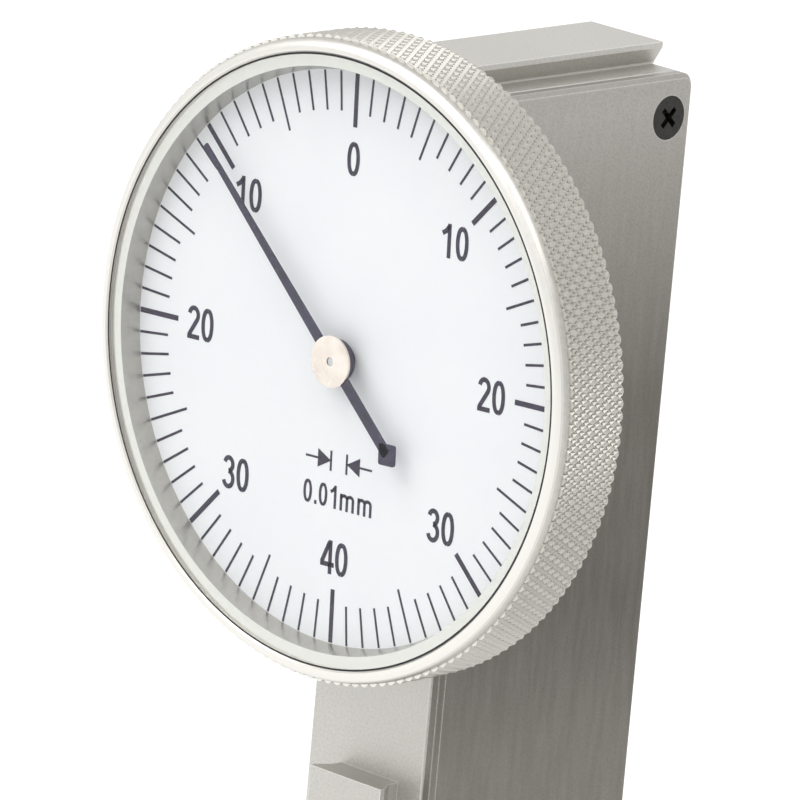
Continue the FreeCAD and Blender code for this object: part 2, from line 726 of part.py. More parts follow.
def make_cover_screws():
    """Cross-recessed countersunk screws that fill the cover's tapered holes."""
    body = template_body("cover_screw")
    turn(body, "cover_screw_profile", "X", [
        ("0", "0"),
        ("0", "cover_screw_head"),
        ("-cover_thickness", "cover_screw_radius"),
        ("-cover_screw_length", "cover_screw_radius"),
        ("-cover_screw_length", "0"),
    ])
    cross = new_sketch(body, "cross_recess", "YZ_Plane", "0")
    arm, reach = "cross_width / 2", "cross_span / 2"
    quarter = [(arm, reach), (arm, arm), (reach, arm)]
    corners = []
    for i, (turn_y, turn_z) in enumerate(((1, 1), (1, -1), (-1, -1), (-1, 1))):
        trio = quarter if i % 2 == 0 else quarter[::-1]
        corners += [("%d * (%s)" % (turn_y, y), "%d * (%s)" % (turn_z, z)) for y, z in trio]
    draw_outline(cross, corners)
    cut_pocket(body, cross, "cross_depth", -1)
    places = [(("half_width", y, z), (1, 0, 0), "cover_screw_turn") for y, z in COVER_SCREWS]
    group("cover_screws", body, places)


def small_screw(name, length):
    """A slotted flat-head screw along +Y, its head's face at the origin."""
    body = template_body(name)
    turn(body, name + "_profile", "Y", [
        ("0", "0"),
        ("small_screw_head", "0"),
        ("small_screw_head", "small_screw_head_depth"),
        ("small_screw_radius", "small_screw_head_depth"),
        ("small_screw_radius", length),
        ("0", length),
    ])
    slot = new_sketch(body, name + "_slot", "XZ_Plane", "0")
    half = "small_slot_width / 2"
    draw_outline(slot, [
        ("-small_screw_head", "-" + half), ("small_screw_head", "-" + half),
        ("small_screw_head", half), ("-small_screw_head", half),
    ])
    cut_pocket(body, slot, "small_slot_depth")
    return body


# ---------------------------------------------------------------- dial case and bezel
def make_dial_case():
    body = new_body("dial_case", DIAL)
    turn(body, "case_profile", "Y", [
        ("case_bore", "case_base_front"),
        ("case_recess", "case_base_front"),
        ("case_recess", "case_front"),
        ("case_flange_radius", "case_front"),
        ("case_flange_radius", "case_flange_back"),
        ("case_hub", "case_flange_back"),
        ("case_hub", "body_front"),
        ("case_bore", "body_front"),
    ])
    holes = new_sketch(body, "case_screw_holes", "XZ_Plane", "case_base_front")
    for x, z in CASE_SCREWS:
        draw_circle(holes, x, z, "small_screw_radius")
    cut_pocket(body, holes, "case_base")
    heads = new_sketch(body, "case_screw_heads", "XZ_Plane", "case_base_front")
    for x, z in CASE_SCREWS:
        draw_circle(heads, x, z, "small_screw_head")
    cut_pocket(body, heads, "small_screw_head_depth")


def make_bezel():
    body = new_body("bezel", DIAL)
    turn(body, "bezel_profile", "Y", [
        ("dial_opening", "dial_front"),
        ("crystal_ledge", "crystal_back"),
        ("crystal_bore", "crystal_back"),
        ("crystal_bore", "bezel_lip_front"),
        ("bezel_lip_radius", "bezel_lip_front"),
        ("bezel_lip_radius", "knurl_front"),
        ("knurl_radius", "knurl_front"),
        ("knurl_radius", "bezel_back"),
        ("bezel_bore", "bezel_back"),
        ("bezel_bore", "dial_front"),
    ])
    dress_edges(body, "Fillet", "lip_round", "bezel_lip_round", on_circle("bezel_lip_radius", "bezel_lip_front"))
    dress_edges(body, "Chamfer", "knurl_back_edge", "bezel_back_chamfer", on_circle("knurl_radius", "bezel_back"))


def make_bezel_pieces():
    disc("crystal", DIAL, "crystal_radius", "crystal_front", "crystal_thickness")
    disc("crystal_gasket", DIAL, "crystal_bore", "crystal_front", "crystal_thickness", "crystal_radius")
    disc("dial_plate", DIAL, "bezel_bore - dial_edge_gap", "dial_front", "dial_thickness", "dial_hole")
    retainer = disc("dial_retainer", DIAL, "bezel_bore", "dial_back", "retainer_thickness", "bezel_bore - retainer_width")
    gap = new_sketch(retainer, "retainer_split", "XZ_Plane", "dial_back")
    inside, outside = "-bezel_bore + 2 * retainer_width", "-bezel_bore - retainer_width"
    draw_outline(gap, [
        ("-retainer_gap / 2", inside), ("retainer_gap / 2", inside),
        ("retainer_gap / 2", outside), ("-retainer_gap / 2", outside),
    ])
    cut_pocket(retainer, gap, "retainer_thickness")
    clip = disc("bezel_clip_ring", DIAL, "bezel_bore", "clip_front", "clip_thickness", "clip_inner")
    notch = new_sketch(clip, "clip_notch", "XZ_Plane", "clip_front")
    inside, outside = "clip_inner - clip_notch_depth", "clip_inner + clip_notch_depth"
    draw_outline(notch, [
        ("-clip_notch / 2", inside), ("clip_notch / 2", inside),
        ("clip_notch / 2", outside), ("-clip_notch / 2", outside),
    ])
    pocket = cut_pocket(clip, notch, "clip_thickness")
    pattern = clip.newObject("PartDesign::PolarPattern", "clip_notches")
    pattern.Originals = [pocket]
    pattern.Axis = (notch, ["N_Axis"])
    pattern.Angle = 360
    pattern.Occurrences = 3
    clip.Tip = pattern
    slack = "friction_ring_slack"
    disc("friction_ring", DIAL, "friction_ring_outer", "case_flange_back + %s" % slack,
         "clip_front - case_flange_back - 2 * %s" % slack, "friction_ring_inner")


# ---------------------------------------------------------------- pointer
def make_pointer():
    """A tapered blade with a hub and a square tail weight, pointing up before it is turned."""
    body = new_body("pointer", DIAL, (0, 1, 0), "pointer_rest_angle")
    blade = new_sketch(body, "pointer_blade", "XZ_Plane", "pointer_front")
    tail = "-weight_radius"
    draw_outline(blade, [
        ("-pointer_tip_width / 2", "pointer_tip_radius"),
        ("pointer_tip_width / 2", "pointer_tip_radius"),
        ("pointer_hub_width / 2", "0"),
        ("pointer_hub_width / 2", tail),
        ("-pointer_hub_width / 2", tail),
        ("-pointer_hub_width / 2", "0"),
    ])
    add_pad(body, blade, "pointer_thickness")
    hub = new_sketch(body, "pointer_hub", "XZ_Plane", "pointer_front")
    draw_circle(hub, "0", "0", "pointer_hub_radius")
    add_pad(body, hub, "pointer_thickness")
    weight = new_sketch(body, "pointer_weight", "XZ_Plane", "pointer_front")
    half, reach = "weight_width / 2", "weight_length / 2"
    draw_outline(weight, [
        ("-" + half, "-weight_radius - " + reach), (half, "-weight_radius - " + reach),
        (half, "-weight_radius + " + reach), ("-" + half, "-weight_radius + " + reach),
    ])
    add_pad(body, weight, "pointer_thickness")
    bore = new_sketch(body, "pointer_bore", "XZ_Plane", "pointer_front")
    draw_circle(bore, "0", "0", "arbor_pivot")
    cut_pocket(body, bore, "pointer_thickness")


def make_pointer_pieces():
    disc("pointer_boss", DIAL, "pointer_boss_radius", "pointer_back", "pointer_boss_length", "arbor_pivot")
    disc("pointer_cap", DIAL, "cap_radius", "pointer_front - cap_thickness", "cap_thickness", "cap_bore")
    arbor = new_body("centre_arbor", DIAL)
    turn(arbor, "centre_arbor_profile", "Y", [
        ("0", "pointer_front - cap_thickness / 2"),
        ("arbor_pivot", "pointer_front - cap_thickness / 2"),
        ("arbor_pivot", "front_inside + arbor_end_play"),
        ("centre_arbor_radius", "front_inside + arbor_end_play"),
        ("centre_arbor_radius", "cock_rear_front - arbor_end_play"),
        ("arbor_pivot", "cock_rear_front - arbor_end_play"),
        ("arbor_pivot", "cock_rear_front + jewel_thickness"),
        ("0", "cock_rear_front + jewel_thickness"),
    ])
    disc("hairspring_collet", DIAL, "collet_radius", "hairspring_front", "hairspring_height * 2", "centre_arbor_radius")


# ---------------------------------------------------------------- gears
def involute(angle):
    return math.tan(angle) - angle


def gear_face(teeth, tooth_share, bore, gap_direction):
    """A toothed face in its own XY plane, with a tooth gap in one direction (degrees)."""
    step = size("tooth_module")
    pitch = teeth * step / 2
    tip = pitch + size("addendum") * step
    root = pitch - size("dedendum") * step
    pressure = math.radians(size("pressure_angle"))
    base = pitch * math.cos(pressure)
    half_tooth = math.pi * step * tooth_share / (2 * pitch)
    foot = max(base, root)

    def flank(radius):
        """Half the angle that a tooth spans at a radius."""
        return half_tooth + involute(pressure) - involute(math.acos(min(1, base / radius)))

    def spot(radius, angle):
        return FreeCAD.Vector(radius * math.cos(angle), radius * math.sin(angle), 0)

    points = []
    spacing = 2 * math.pi / teeth
    radii = (foot, pitch, tip)
    for i in range(teeth):
        middle = math.radians(gap_direction) + (i + 0.5) * spacing
        points.append(spot(root, middle - flank(foot)))
        points += [spot(radius, middle - flank(radius)) for radius in radii]
        points += [spot(radius, middle + flank(radius)) for radius in reversed(radii)]
        points.append(spot(root, middle + flank(foot)))
    outline = Part.makePolygon(points + points[:1])
    hole = Part.Wire(Part.Circle(FreeCAD.Vector(), FreeCAD.Vector(0, 0, 1), bore).toShape())
    return Part.makeFace([outline, hole], "Part::FaceMakerBullseye")


def facing(shape, z_to):
    """Turn a flat drawing so that its own Z lies along a row axis."""
    turned = shape.copy()
    if z_to == "X":
        turned.rotate(FreeCAD.Vector(), FreeCAD.Vector(0, 1, 0), 90)
    if z_to == "Y":
        turned.rotate(FreeCAD.Vector(), FreeCAD.Vector(1, 0, 0), -90)
    return turned


def make_centre_pinion():
    """Pinion on the centre arbor; one of its gaps faces the crown gear, towards -X."""
    face = gear_face(int(size("pinion_teeth")), size("pinion_tooth_share"), size("centre_arbor_radius"), 180)
    solid = facing(face, "Y").extrude(FreeCAD.Vector(0, size("centre_pinion_length"), 0))
    shape_feature("centre_pinion", solid, ("0", "centre_pinion_front", "0"))


def make_sector_pinion():
    """Pinion on the crown arbor; one of its gaps faces the lever's pivot."""
    face = gear_face(int(size("pinion_teeth")), size("pinion_tooth_share"), size("crown_arbor_radius"), 0)
    flat = facing(face, "X")
    flat.translate(FreeCAD.Vector(size("sector_left + sector_thickness / 2 - sector_pinion_length / 2"), 0, 0))
    solid = flat.extrude(FreeCAD.Vector(size("sector_pinion_length"), 0, 0))
    shape_feature("sector_pinion", solid, CROWN, (1, 0, 0), "-contact_angle")


def make_crown_gear():
    """Face gear: a spoked disc with parallel slots cut across its rim, a tooth facing -Y."""
    axis, origin = FreeCAD.Vector(1, 0, 0), FreeCAD.Vector()
    tip, root, back = size("crown_tip"), size("crown_root"), size("crown_rim_back")
    inner, outer = size("crown_rim_inner"), size("crown_rim_outer")
    rim = Part.makeCylinder(outer, tip - back, FreeCAD.Vector(back, 0, 0), axis)
    dish = Part.makeCylinder(inner, tip - root, FreeCAD.Vector(root, 0, 0), axis)
    blank = rim.cut(dish)
    # slots: a trapezium across the rim, extruded along the radius
    teeth = int(size("crown_teeth"))
    pitch = math.pi * size("tooth_module")
    lean = math.tan(math.radians(size("pressure_angle")))
    half = pitch * size("crown_slot_share") / 2
    wide = half + (tip + size("pinion_pitch")) * lean
    narrow = half - (-size("pinion_pitch") - root) * lean
    margin = size("tooth_module")
    section = [
        FreeCAD.Vector(root, 0, -narrow), FreeCAD.Vector(root, 0, narrow),
        FreeCAD.Vector(tip, 0, wide), FreeCAD.Vector(tip, 0, -wide),
    ]
    near_axis = -(outer + margin)
    slot = Part.Face(Part.makePolygon(section + section[:1]))
    slot.translate(FreeCAD.Vector(0, near_axis, 0))
    slot = slot.extrude(FreeCAD.Vector(0, outer - inner + 2 * margin, 0))
    slots = []
    for i in range(teeth):
        copy = slot.copy()
        copy.rotate(origin, axis, (i + 0.5) * 360.0 / teeth)
        slots.append(copy)
    blank = blank.cut(Part.makeCompound(slots))
    # four windows between the arms
    ring = Part.makeCylinder(size("crown_window_outer"), root - back, FreeCAD.Vector(back, 0, 0), axis)
    ring = ring.cut(Part.makeCylinder(size("crown_window_inner"), root - back, FreeCAD.Vector(back, 0, 0), axis))
    arm, span = size("crown_arm_width"), 2 * outer
    for width, height in ((arm, span), (span, arm)):
        bar = Part.makeBox(root - back, width, height, FreeCAD.Vector(back, -width / 2, -height / 2))
        ring = ring.cut(bar)
    blank = blank.cut(ring)
    hub = Part.makeCylinder(size("crown_hub_radius"), size("crown_hub_length"),
                            FreeCAD.Vector(back - size("crown_hub_length"), 0, 0), axis)
    bore = Part.makeCylinder(size("crown_arbor_radius"), 2 * (tip - back) + size("crown_hub_length"),
                             FreeCAD.Vector(back - size("crown_hub_length"), 0, 0), axis)
    shape_feature("crown_gear", blank.fuse(hub).cut(bore).removeSplitter(), CROWN)


def make_crown_arbor():
    body = new_body("crown_arbor", CROWN)
    left, right = "left_inside", "bridge_left"
    turn(body, "crown_arbor_profile", "X", [
        ("%s - jewel_thickness" % left, "0"),
        ("%s - jewel_thickness" % left, "arbor_pivot"),
        ("%s + arbor_end_play" % left, "arbor_pivot"),
        ("%s + arbor_end_play" % left, "crown_arbor_radius"),
        ("%s - arbor_end_play" % right, "crown_arbor_radius"),
        ("%s - arbor_end_play" % right, "arbor_pivot"),
        ("%s + jewel_thickness" % right, "arbor_pivot"),
        ("%s + jewel_thickness" % right, "0"),
    ])


def make_sector():
    """Toothed head of the lever, riveted to its arm; one tooth lies on the line of centres."""
    step, radius = size("tooth_module"), size("sector_radius")
    spacing = 2 * math.pi / size("sector_full_teeth")
    share, lean = size("sector_tooth_share"), math.tan(math.radians(size("pressure_angle")))
    up, down = size("addendum") * step, size("dedendum") * step
    half = math.pi * step * share / 2

    def spot(distance, along, tooth):
        """A point of a tooth, measured across the tooth and out from the pivot."""
        angle = tooth * spacing + along / radius
        return FreeCAD.Vector(0, distance * math.sin(angle), distance * math.cos(angle))

    first, last = -int(size("sector_teeth_front")), int(size("sector_teeth_back"))
    points = [spot(radius - down, -3 * half, first)]
    for tooth in range(first, last + 1):
        points.append(spot(radius - down, -half - down * lean, tooth))
        points.append(spot(radius + up, -half + up * lean, tooth))
        points.append(spot(radius + up, half - up * lean, tooth))
        points.append(spot(radius - down, half + down * lean, tooth))
    points.append(spot(radius - down, 3 * half, last))
    points.append(spot(radius - size("sector_band"), 0, last))
    points.append(spot(radius - size("sector_band"), 0, first))
    face = Part.Face(Part.makePolygon(points + points[:1]))
    solid = face.extrude(FreeCAD.Vector(size("sector_thickness"), 0, 0))
    solid.translate(FreeCAD.Vector(size("sector_left"), 0, 0))
    for y, z in rivet_spots():
        hole = Part.makeCylinder(size("rivet_radius"), size("sector_thickness"),
                                 FreeCAD.Vector(size("sector_left"), y, z), FreeCAD.Vector(1, 0, 0))
        solid = solid.cut(hole)
    shape_feature("sector_gear", solid, PIVOT, (1, 0, 0), "-contact_angle")


# ---------------------------------------------------------------- bridges and jewels
def make_movement_bridge():
    """Plate on two pillars that holds the right end of the crown arbor."""
    body = new_body("movement_bridge", CROWN)
    plate = new_sketch(body, "bridge_outline", "YZ_Plane", "bridge_left")
    reach, low, high = "pillar_spread + bridge_round", "-bridge_round", "pillar_height + bridge_round"
    draw_outline(plate, [
        ("-(%s)" % reach, high), ("-(%s)" % reach, "pillar_height - bridge_round"),
        ("-bridge_round", low), ("bridge_round", low),
        (reach, "pillar_height - bridge_round"), (reach, high),
    ])
    add_pad(body, plate, "bridge_thickness")
    dress_edges(body, "Fillet", "bridge_corners", "bridge_corner",
                lambda p: near(p.z, size(low)) or near(abs(p.y), size(reach)), across_only=True)
    holes = new_sketch(body, "bridge_holes", "YZ_Plane", "bridge_right")
    for y in ("-pillar_spread", "pillar_spread"):
        draw_circle(holes, y, "pillar_height", "small_screw_radius")
    draw_circle(holes, "0", "0", "arbor_hole")
    cut_pocket(body, holes, "bridge_thickness", -1)
    heads = new_sketch(body, "bridge_heads", "YZ_Plane", "bridge_right")
    for y in ("-pillar_spread", "pillar_spread"):
        draw_circle(heads, y, "pillar_height", "small_screw_head")
    cut_pocket(body, heads, "small_screw_head_depth", -1)
    seat = new_sketch(body, "bridge_jewel_seat", "YZ_Plane", "bridge_left")
    draw_circle(seat, "0", "0", "jewel_radius")
    cut_pocket(body, seat, "jewel_thickness")


def make_centre_cock():
    """Angled bracket behind the front wall that holds the rear end of the centre arbor."""
    body = new_body("centre_cock", DIAL)
    side = new_sketch(body, "cock_side", "YZ_Plane", "-cock_half_width")
    draw_outline(side, [
        ("front_inside", "cock_foot_bottom"),
        ("cock_rear_front", "cock_foot_bottom"),
        ("cock_rear_front", "-cock_half_width - arbor_end_play"),
        ("cock_rear_back", "-cock_half_width - arbor_end_play"),
        ("cock_rear_back", "cock_foot_bottom + cock_top_thickness"),
        ("front_inside + cock_plate", "cock_foot_bottom + cock_top_thickness"),
        ("front_inside + cock_plate", "cock_foot_top"),
        ("front_inside", "cock_foot_top"),
    ])
    add_pad(body, side, "2 * cock_half_width")
    holes = new_sketch(body, "cock_holes", "XZ_Plane", "front_inside")
    for x, z in COCK_SCREWS:
        draw_circle(holes, x, z, "small_screw_radius")
    cut_pocket(body, holes, "cock_plate")
    bore = new_sketch(body, "cock_bore", "XZ_Plane", "cock_rear_front")
    draw_circle(bore, "0", "0", "arbor_hole")
    cut_pocket(body, bore, "cock_plate")
    seat = new_sketch(body, "cock_jewel_seat", "XZ_Plane", "cock_rear_front")
    draw_circle(seat, "0", "0", "jewel_radius")
    cut_pocket(body, seat, "jewel_thickness")


def make_jewels():
    """Ring jewels: two on the centre arbor along Y and two on the crown arbor along X."""
    jewel = template_body("jewel")
    turn(jewel, "jewel_profile", "Y", [
        ("jewel_bore", "0"), ("jewel_radius", "0"),
        ("jewel_radius", "jewel_thickness"), ("jewel_bore", "jewel_thickness"),
    ])
    across = (0, 0, 1)
    group("jewel_bearings", jewel, [
        (("0", "front_inside - jewel_thickness", "0"), across, "0"),
        (("0", "cock_rear_front", "0"), across, "0"),
        (("left_inside", "crown_axis_back", "0"), across, "90"),
        (("bridge_left + jewel_thickness", "crown_axis_back", "0"), across, "90"),
    ])


def make_small_screws():
    body = small_screw("case_screw", "case_base + wall")
    places = [((x, "case_base_front", z), (0, 1, 0), "case_screw_turn") for x, z in CASE_SCREWS]
    group("case_screws", body, places)
    body = small_screw("cock_screw", "wall + cock_plate")
    places = [((x, "body_front", z), (0, 1, 0), "cock_screw_turn") for x, z in COCK_SCREWS]
    group("cock_screws", body, places)
    body = small_screw("bridge_screw", "bridge_thickness + bridge_screw_grip")
    group("bridge_screws", body, [(("bridge_right", y, z), (0, 0, 1), "90") for y, z in PILLARS])
    body = small_screw("leaf_screw_pattern", "leaf_thickness + small_screw_head_depth + leaf_screw_grip")
    head = "front_inside + leaf_thickness + small_screw_head_depth"
    group("leaf_spring_screw", body, [(("leaf_middle", head, "-leaf_screw_drop"), (0, 0, 1), "180")])


# ---------------------------------------------------------------- springs and stops
def make_hairspring():
    """Flat spiral of half circles from the collet out to the stud."""
    strip, pitch = size("hairspring_strip"), size("hairspring_pitch")
    inner = size("collet_radius")
    halves = 2 * int(size("hairspring_turns"))
    inside, outside = [], []
    for wall, edges in ((0.0, inside), (strip, outside)):
        for i in range(halves):
            side = 1 if i % 2 == 0 else -1
            radius = inner + pitch * i / 2 + wall
            shift = 0.0 if i % 2 == 0 else pitch / 2
            start = FreeCAD.Vector(shift + side * radius, 0, 0)
            top = FreeCAD.Vector(shift, side * radius, 0)
            end = FreeCAD.Vector(shift - side * radius, 0, 0)
            edges.append((start, top, end))
    edges = [Part.Arc(*points).toShape() for points in inside + outside]
    edges.append(Part.LineSegment(inside[0][0], outside[0][0]).toShape())
    edges.append(Part.LineSegment(inside[-1][2], outside[-1][2]).toShape())
    face = Part.Face(Part.Wire(Part.__sortEdges__(edges)))
    solid = facing(face, "Y").extrude(FreeCAD.Vector(0, size("hairspring_height"), 0))
    shape_feature("hairspring", solid, ("0", "hairspring_front", "0"))
    end = inside[-1][2]
    return end.x


def make_hairspring_stud(end):
    """Post in the front wall that grips the hairspring's outer end."""
    radius, back = size("stud_radius"), size("hairspring_front + hairspring_height")
    front = size("front_inside")
    sign = 1 if end > 0 else -1
    centre = end + sign * (size("hairspring_strip") + radius)
    post = Part.makeCylinder(radius, back - front, FreeCAD.Vector(centre, front, 0), FreeCAD.Vector(0, 1, 0))
    shape_feature("hairspring_stud", post, DIAL)


def make_stop_pins():
    """Plain pins pressed into the left wall, either side of the lever's arm."""
    pin = template_body("stop_pin")
    turn(pin, "stop_pin_profile", "X", [
        ("-stop_pin_grip", "0"), ("-stop_pin_grip", "stop_pin_radius"),
        ("lever_arm_left + lever_cheek - left_inside", "stop_pin_radius"),
        ("lever_arm_left + lever_cheek - left_inside", "0"),
    ])
    group("stop_pins", pin, [(("left_inside", y, z), (1, 0, 0), "0") for y, z in stop_pin_spots()])


def make_return_spring():
    """Leaf screwed to the front wall that leans on the front edge of the lever's arm."""
    body = new_body("return_spring", DIAL)
    leaf = new_sketch(body, "leaf_side", "YZ_Plane", "leaf_middle - leaf_half_width")
    rest = "(contact_angle + lever_arm_lean)"
    reach = "(pivot_drop - leaf_tip)"
    across = "(lever_arm_foot + (lever_arm_head - lever_arm_foot) * %s / lever_arm_top) / 2" % reach
    tip = "pivot_back + %s * tan(%s) - (%s) / cos(%s) - stop_pin_gap" % (reach, rest, across, rest)
    foot, thick = "front_inside", "leaf_thickness"
    bottom = "-leaf_foot_top - leaf_foot_length"
    draw_outline(leaf, [
        (foot, bottom), ("%s + %s" % (foot, thick), bottom),
        ("%s + %s" % (foot, thick), "-leaf_foot_top"),
        (tip, "-leaf_tip"),
        ("%s - leaf_curl" % tip, "-leaf_tip + 2 * leaf_curl"),
        ("%s - leaf_curl - %s" % (tip, thick), "-leaf_tip + 2 * leaf_curl"),
        ("%s - %s" % (tip, thick), "-leaf_tip"),
        (foot, "-leaf_foot_top"),
    ])
    add_pad(body, leaf, "2 * leaf_half_width")
    hole = new_sketch(body, "leaf_hole", "XZ_Plane", "front_inside")
    draw_circle(hole, "leaf_middle", "-leaf_screw_drop", "small_screw_radius")
    cut_pocket(body, hole, "leaf_thickness")


# ---------------------------------------------------------------- lever, pivot and stylus
def rivet_spots():
    """Rivets through the overlap of the sector and the arm's head, in the lever's frame."""
    middle = size("lever_arm_top") - size("rivet_spacing")
    lean = math.tan(math.radians(size("lever_arm_lean")))
    return [(height * lean, height) for height in (middle, middle - size("rivet_spacing"))]


def make_lever():
    """Forked lever: two cheeks about the pivot, a web, and one long drilled arm."""
    body = new_body("lever", PIVOT, (1, 0, 0), "-contact_angle")
    outer = "lever_cheek_gap + lever_cheek"
    web = new_sketch(body, "lever_web", "YZ_Plane", "-(%s)" % outer)
    half = "lever_web_depth / 2"
    draw_outline(web, [
        ("-" + half, "lever_web_bottom"), (half, "lever_web_bottom"),
        (half, "lever_web_top"), ("-" + half, "lever_web_top"),
    ])
    add_pad(body, web, "2 * (%s)" % outer)
    for name, left in (("left", "-(%s)" % outer), ("right", "lever_cheek_gap")):
        cheek = new_sketch(body, "lever_cheek_" + name, "YZ_Plane", left)
        draw_circle(cheek, "0", "0", "lever_hub_radius")
        add_pad(body, cheek, "lever_cheek")
        strap = new_sketch(body, "lever_strap_" + name, "YZ_Plane", left)
        draw_outline(strap, [
            ("-" + half, "0"), (half, "0"), (half, "lever_web_top"), ("-" + half, "lever_web_top"),
        ])
        add_pad(body, strap, "lever_cheek")
    arm = new_sketch(body, "lever_arm", "YZ_Plane", "lever_arm_left")
    shift = "lever_arm_top * tan(lever_arm_lean)"
    foot_shift = "lever_web_bottom * tan(lever_arm_lean)"
    draw_outline(arm, [
        ("%s - lever_arm_foot / 2" % foot_shift, "lever_web_bottom"),
        ("%s + lever_arm_foot / 2" % foot_shift, "lever_web_bottom"),
        ("%s + lever_arm_head / 2" % shift, "lever_arm_top"),
        ("%s - lever_arm_head / 2" % shift, "lever_arm_top"),
    ])
    add_pad(body, arm, "lever_cheek")
    bore = new_sketch(body, "lever_bore", "YZ_Plane", "-(%s)" % outer)
    draw_circle(bore, "0", "0", "axle_radius")
    cut_pocket(body, bore, "2 * (%s)" % outer)
    holes = new_sketch(body, "lever_holes", "YZ_Plane", "lever_arm_left")
    for i in range(int(size("lever_hole_count"))):
        height = "(lever_hole_first + %d * lever_hole_step)" % i
        draw_circle(holes, "%s * tan(lever_arm_lean)" % height, height, "lever_hole_radius")
    for height in ("(lever_arm_top - rivet_spacing)", "(lever_arm_top - 2 * rivet_spacing)"):
        draw_circle(holes, "%s * tan(lever_arm_lean)" % height, height, "rivet_radius")
    cut_pocket(body, holes, "lever_cheek")


def make_rivets():
    left, right = size("lever_arm_left"), size("sector_left + sector_thickness")
    rivets = [
        Part.makeCylinder(size("rivet_radius"), right - left, FreeCAD.Vector(left, y, z), FreeCAD.Vector(1, 0, 0))
        for y, z in rivet_spots()
    ]
    shape_feature("sector_rivets", Part.makeCompound(rivets), PIVOT, (1, 0, 0), "-contact_angle")


def make_pivot_pieces():
    axle = new_body("pivot_axle", PIVOT)
    ends = "axle_half_length + pivot_screw_socket"
    turn(axle, "axle_profile", "X", [
        ("-(%s)" % ends, "0"), ("-(%s)" % ends, "axle_pivot"),
        ("-axle_half_length", "axle_pivot"), ("-axle_half_length", "axle_radius"),
        ("axle_half_length", "axle_radius"), ("axle_half_length", "axle_pivot"),
        (ends, "axle_pivot"), (ends, "0"),
    ])
    screw = template_body("pivot_screw")
    inside = "nose_half_width - pivot_screw_length"
    socket = "axle_half_length + pivot_screw_socket + pivot_socket_spare"
    turn(screw, "pivot_screw_profile", "X", [
        (inside, "axle_pivot + axle_running_gap"), (inside, "pivot_screw_radius"),
        ("nose_half_width", "pivot_screw_radius"), ("nose_half_width", "0"),
        (socket, "0"), (socket, "axle_pivot + axle_running_gap"),
    ])
    slot = new_sketch(screw, "pivot_screw_slot", "YZ_Plane", "nose_half_width")
    half = "pivot_slot_width / 2"
    draw_outline(slot, [
        ("-" + half, "-pivot_screw_radius"), (half, "-pivot_screw_radius"),
        (half, "pivot_screw_radius"), ("-" + half, "pivot_screw_radius"),
    ])
    cut_pocket(screw, slot, "pivot_slot_depth", -1)
    centre = ("0", "pivot_back", "-pivot_drop")
    group("pivot_screws", screw, [(centre, (0, 0, 1), "0"), (centre, (0, 0, 1), "180")])
    washer = template_body("friction_washer")
    turn(washer, "washer_profile", "X", [
        ("swivel_half_width", "axle_radius + axle_running_gap"), ("swivel_half_width", "washer_radius"),
        ("lever_cheek_gap", "washer_radius"), ("lever_cheek_gap", "axle_radius + axle_running_gap"),
    ])
    group("friction_washers", washer, [(centre, (0, 0, 1), "0"), (centre, (0, 0, 1), "180")])


def make_stylus():
    """Swivel with its neck, the slim shank and the ball tip, hanging straight down."""
    swivel = new_body("stylus_swivel", PIVOT)
    turn(swivel, "neck_profile", "Z", [
        ("0", "0"), ("swivel_neck_radius", "0"),
        ("swivel_neck_radius", "-swivel_neck_straight"),
        ("swivel_neck_tip", "-swivel_neck_length"), ("0", "-swivel_neck_length"),
    ])
    hub = new_sketch(swivel, "swivel_hub", "YZ_Plane", "-swivel_half_width")
    draw_circle(hub, "0", "0", "swivel_hub_radius")
    add_pad(swivel, hub, "2 * swivel_half_width")
    bore = new_sketch(swivel, "swivel_bore", "YZ_Plane", "-swivel_half_width")
    draw_circle(bore, "0", "0", "axle_radius + axle_running_gap")
    cut_pocket(swivel, bore, "2 * swivel_half_width")
    socket = new_sketch(swivel, "shank_socket", "XY_Plane", "-swivel_neck_length")
    draw_circle(socket, "0", "0", "shank_radius")
    cut_pocket(swivel, socket, "shank_grip", 1)
    shank = new_body("stylus_shank", PIVOT)
    end = "-stylus_reach + ball_radius - ball_socket"
    turn(shank, "shank_profile", "Z", [
        ("0", "-swivel_neck_length + shank_grip"), ("shank_radius", "-swivel_neck_length + shank_grip"),
        ("shank_radius", "-swivel_neck_length - shank_grip"),
        ("shank_tip_radius", "%s + ball_radius" % end), ("shank_tip_radius", end), ("0", end),
    ])
    ball = doc.addObject("Part::Sphere", "ball")
    ball.setExpression("Radius", formula("ball_radius"))
    stand(ball, ("0", "pivot_back", "-pivot_drop - stylus_reach"))
    socket = doc.addObject("Part::Cylinder", "ball_socket")
    socket.setExpression("Radius", formula("shank_tip_radius"))
    socket.setExpression("Height", formula("ball_radius"))
    stand(socket, ("0", "pivot_back", "-pivot_drop - stylus_reach + ball_radius - ball_socket"))
    tip = doc.addObject("Part::Cut", "stylus_ball")
    tip.Base, tip.Tool, tip.Label = ball, socket, "stylus_ball"
    NODES.append(tip)


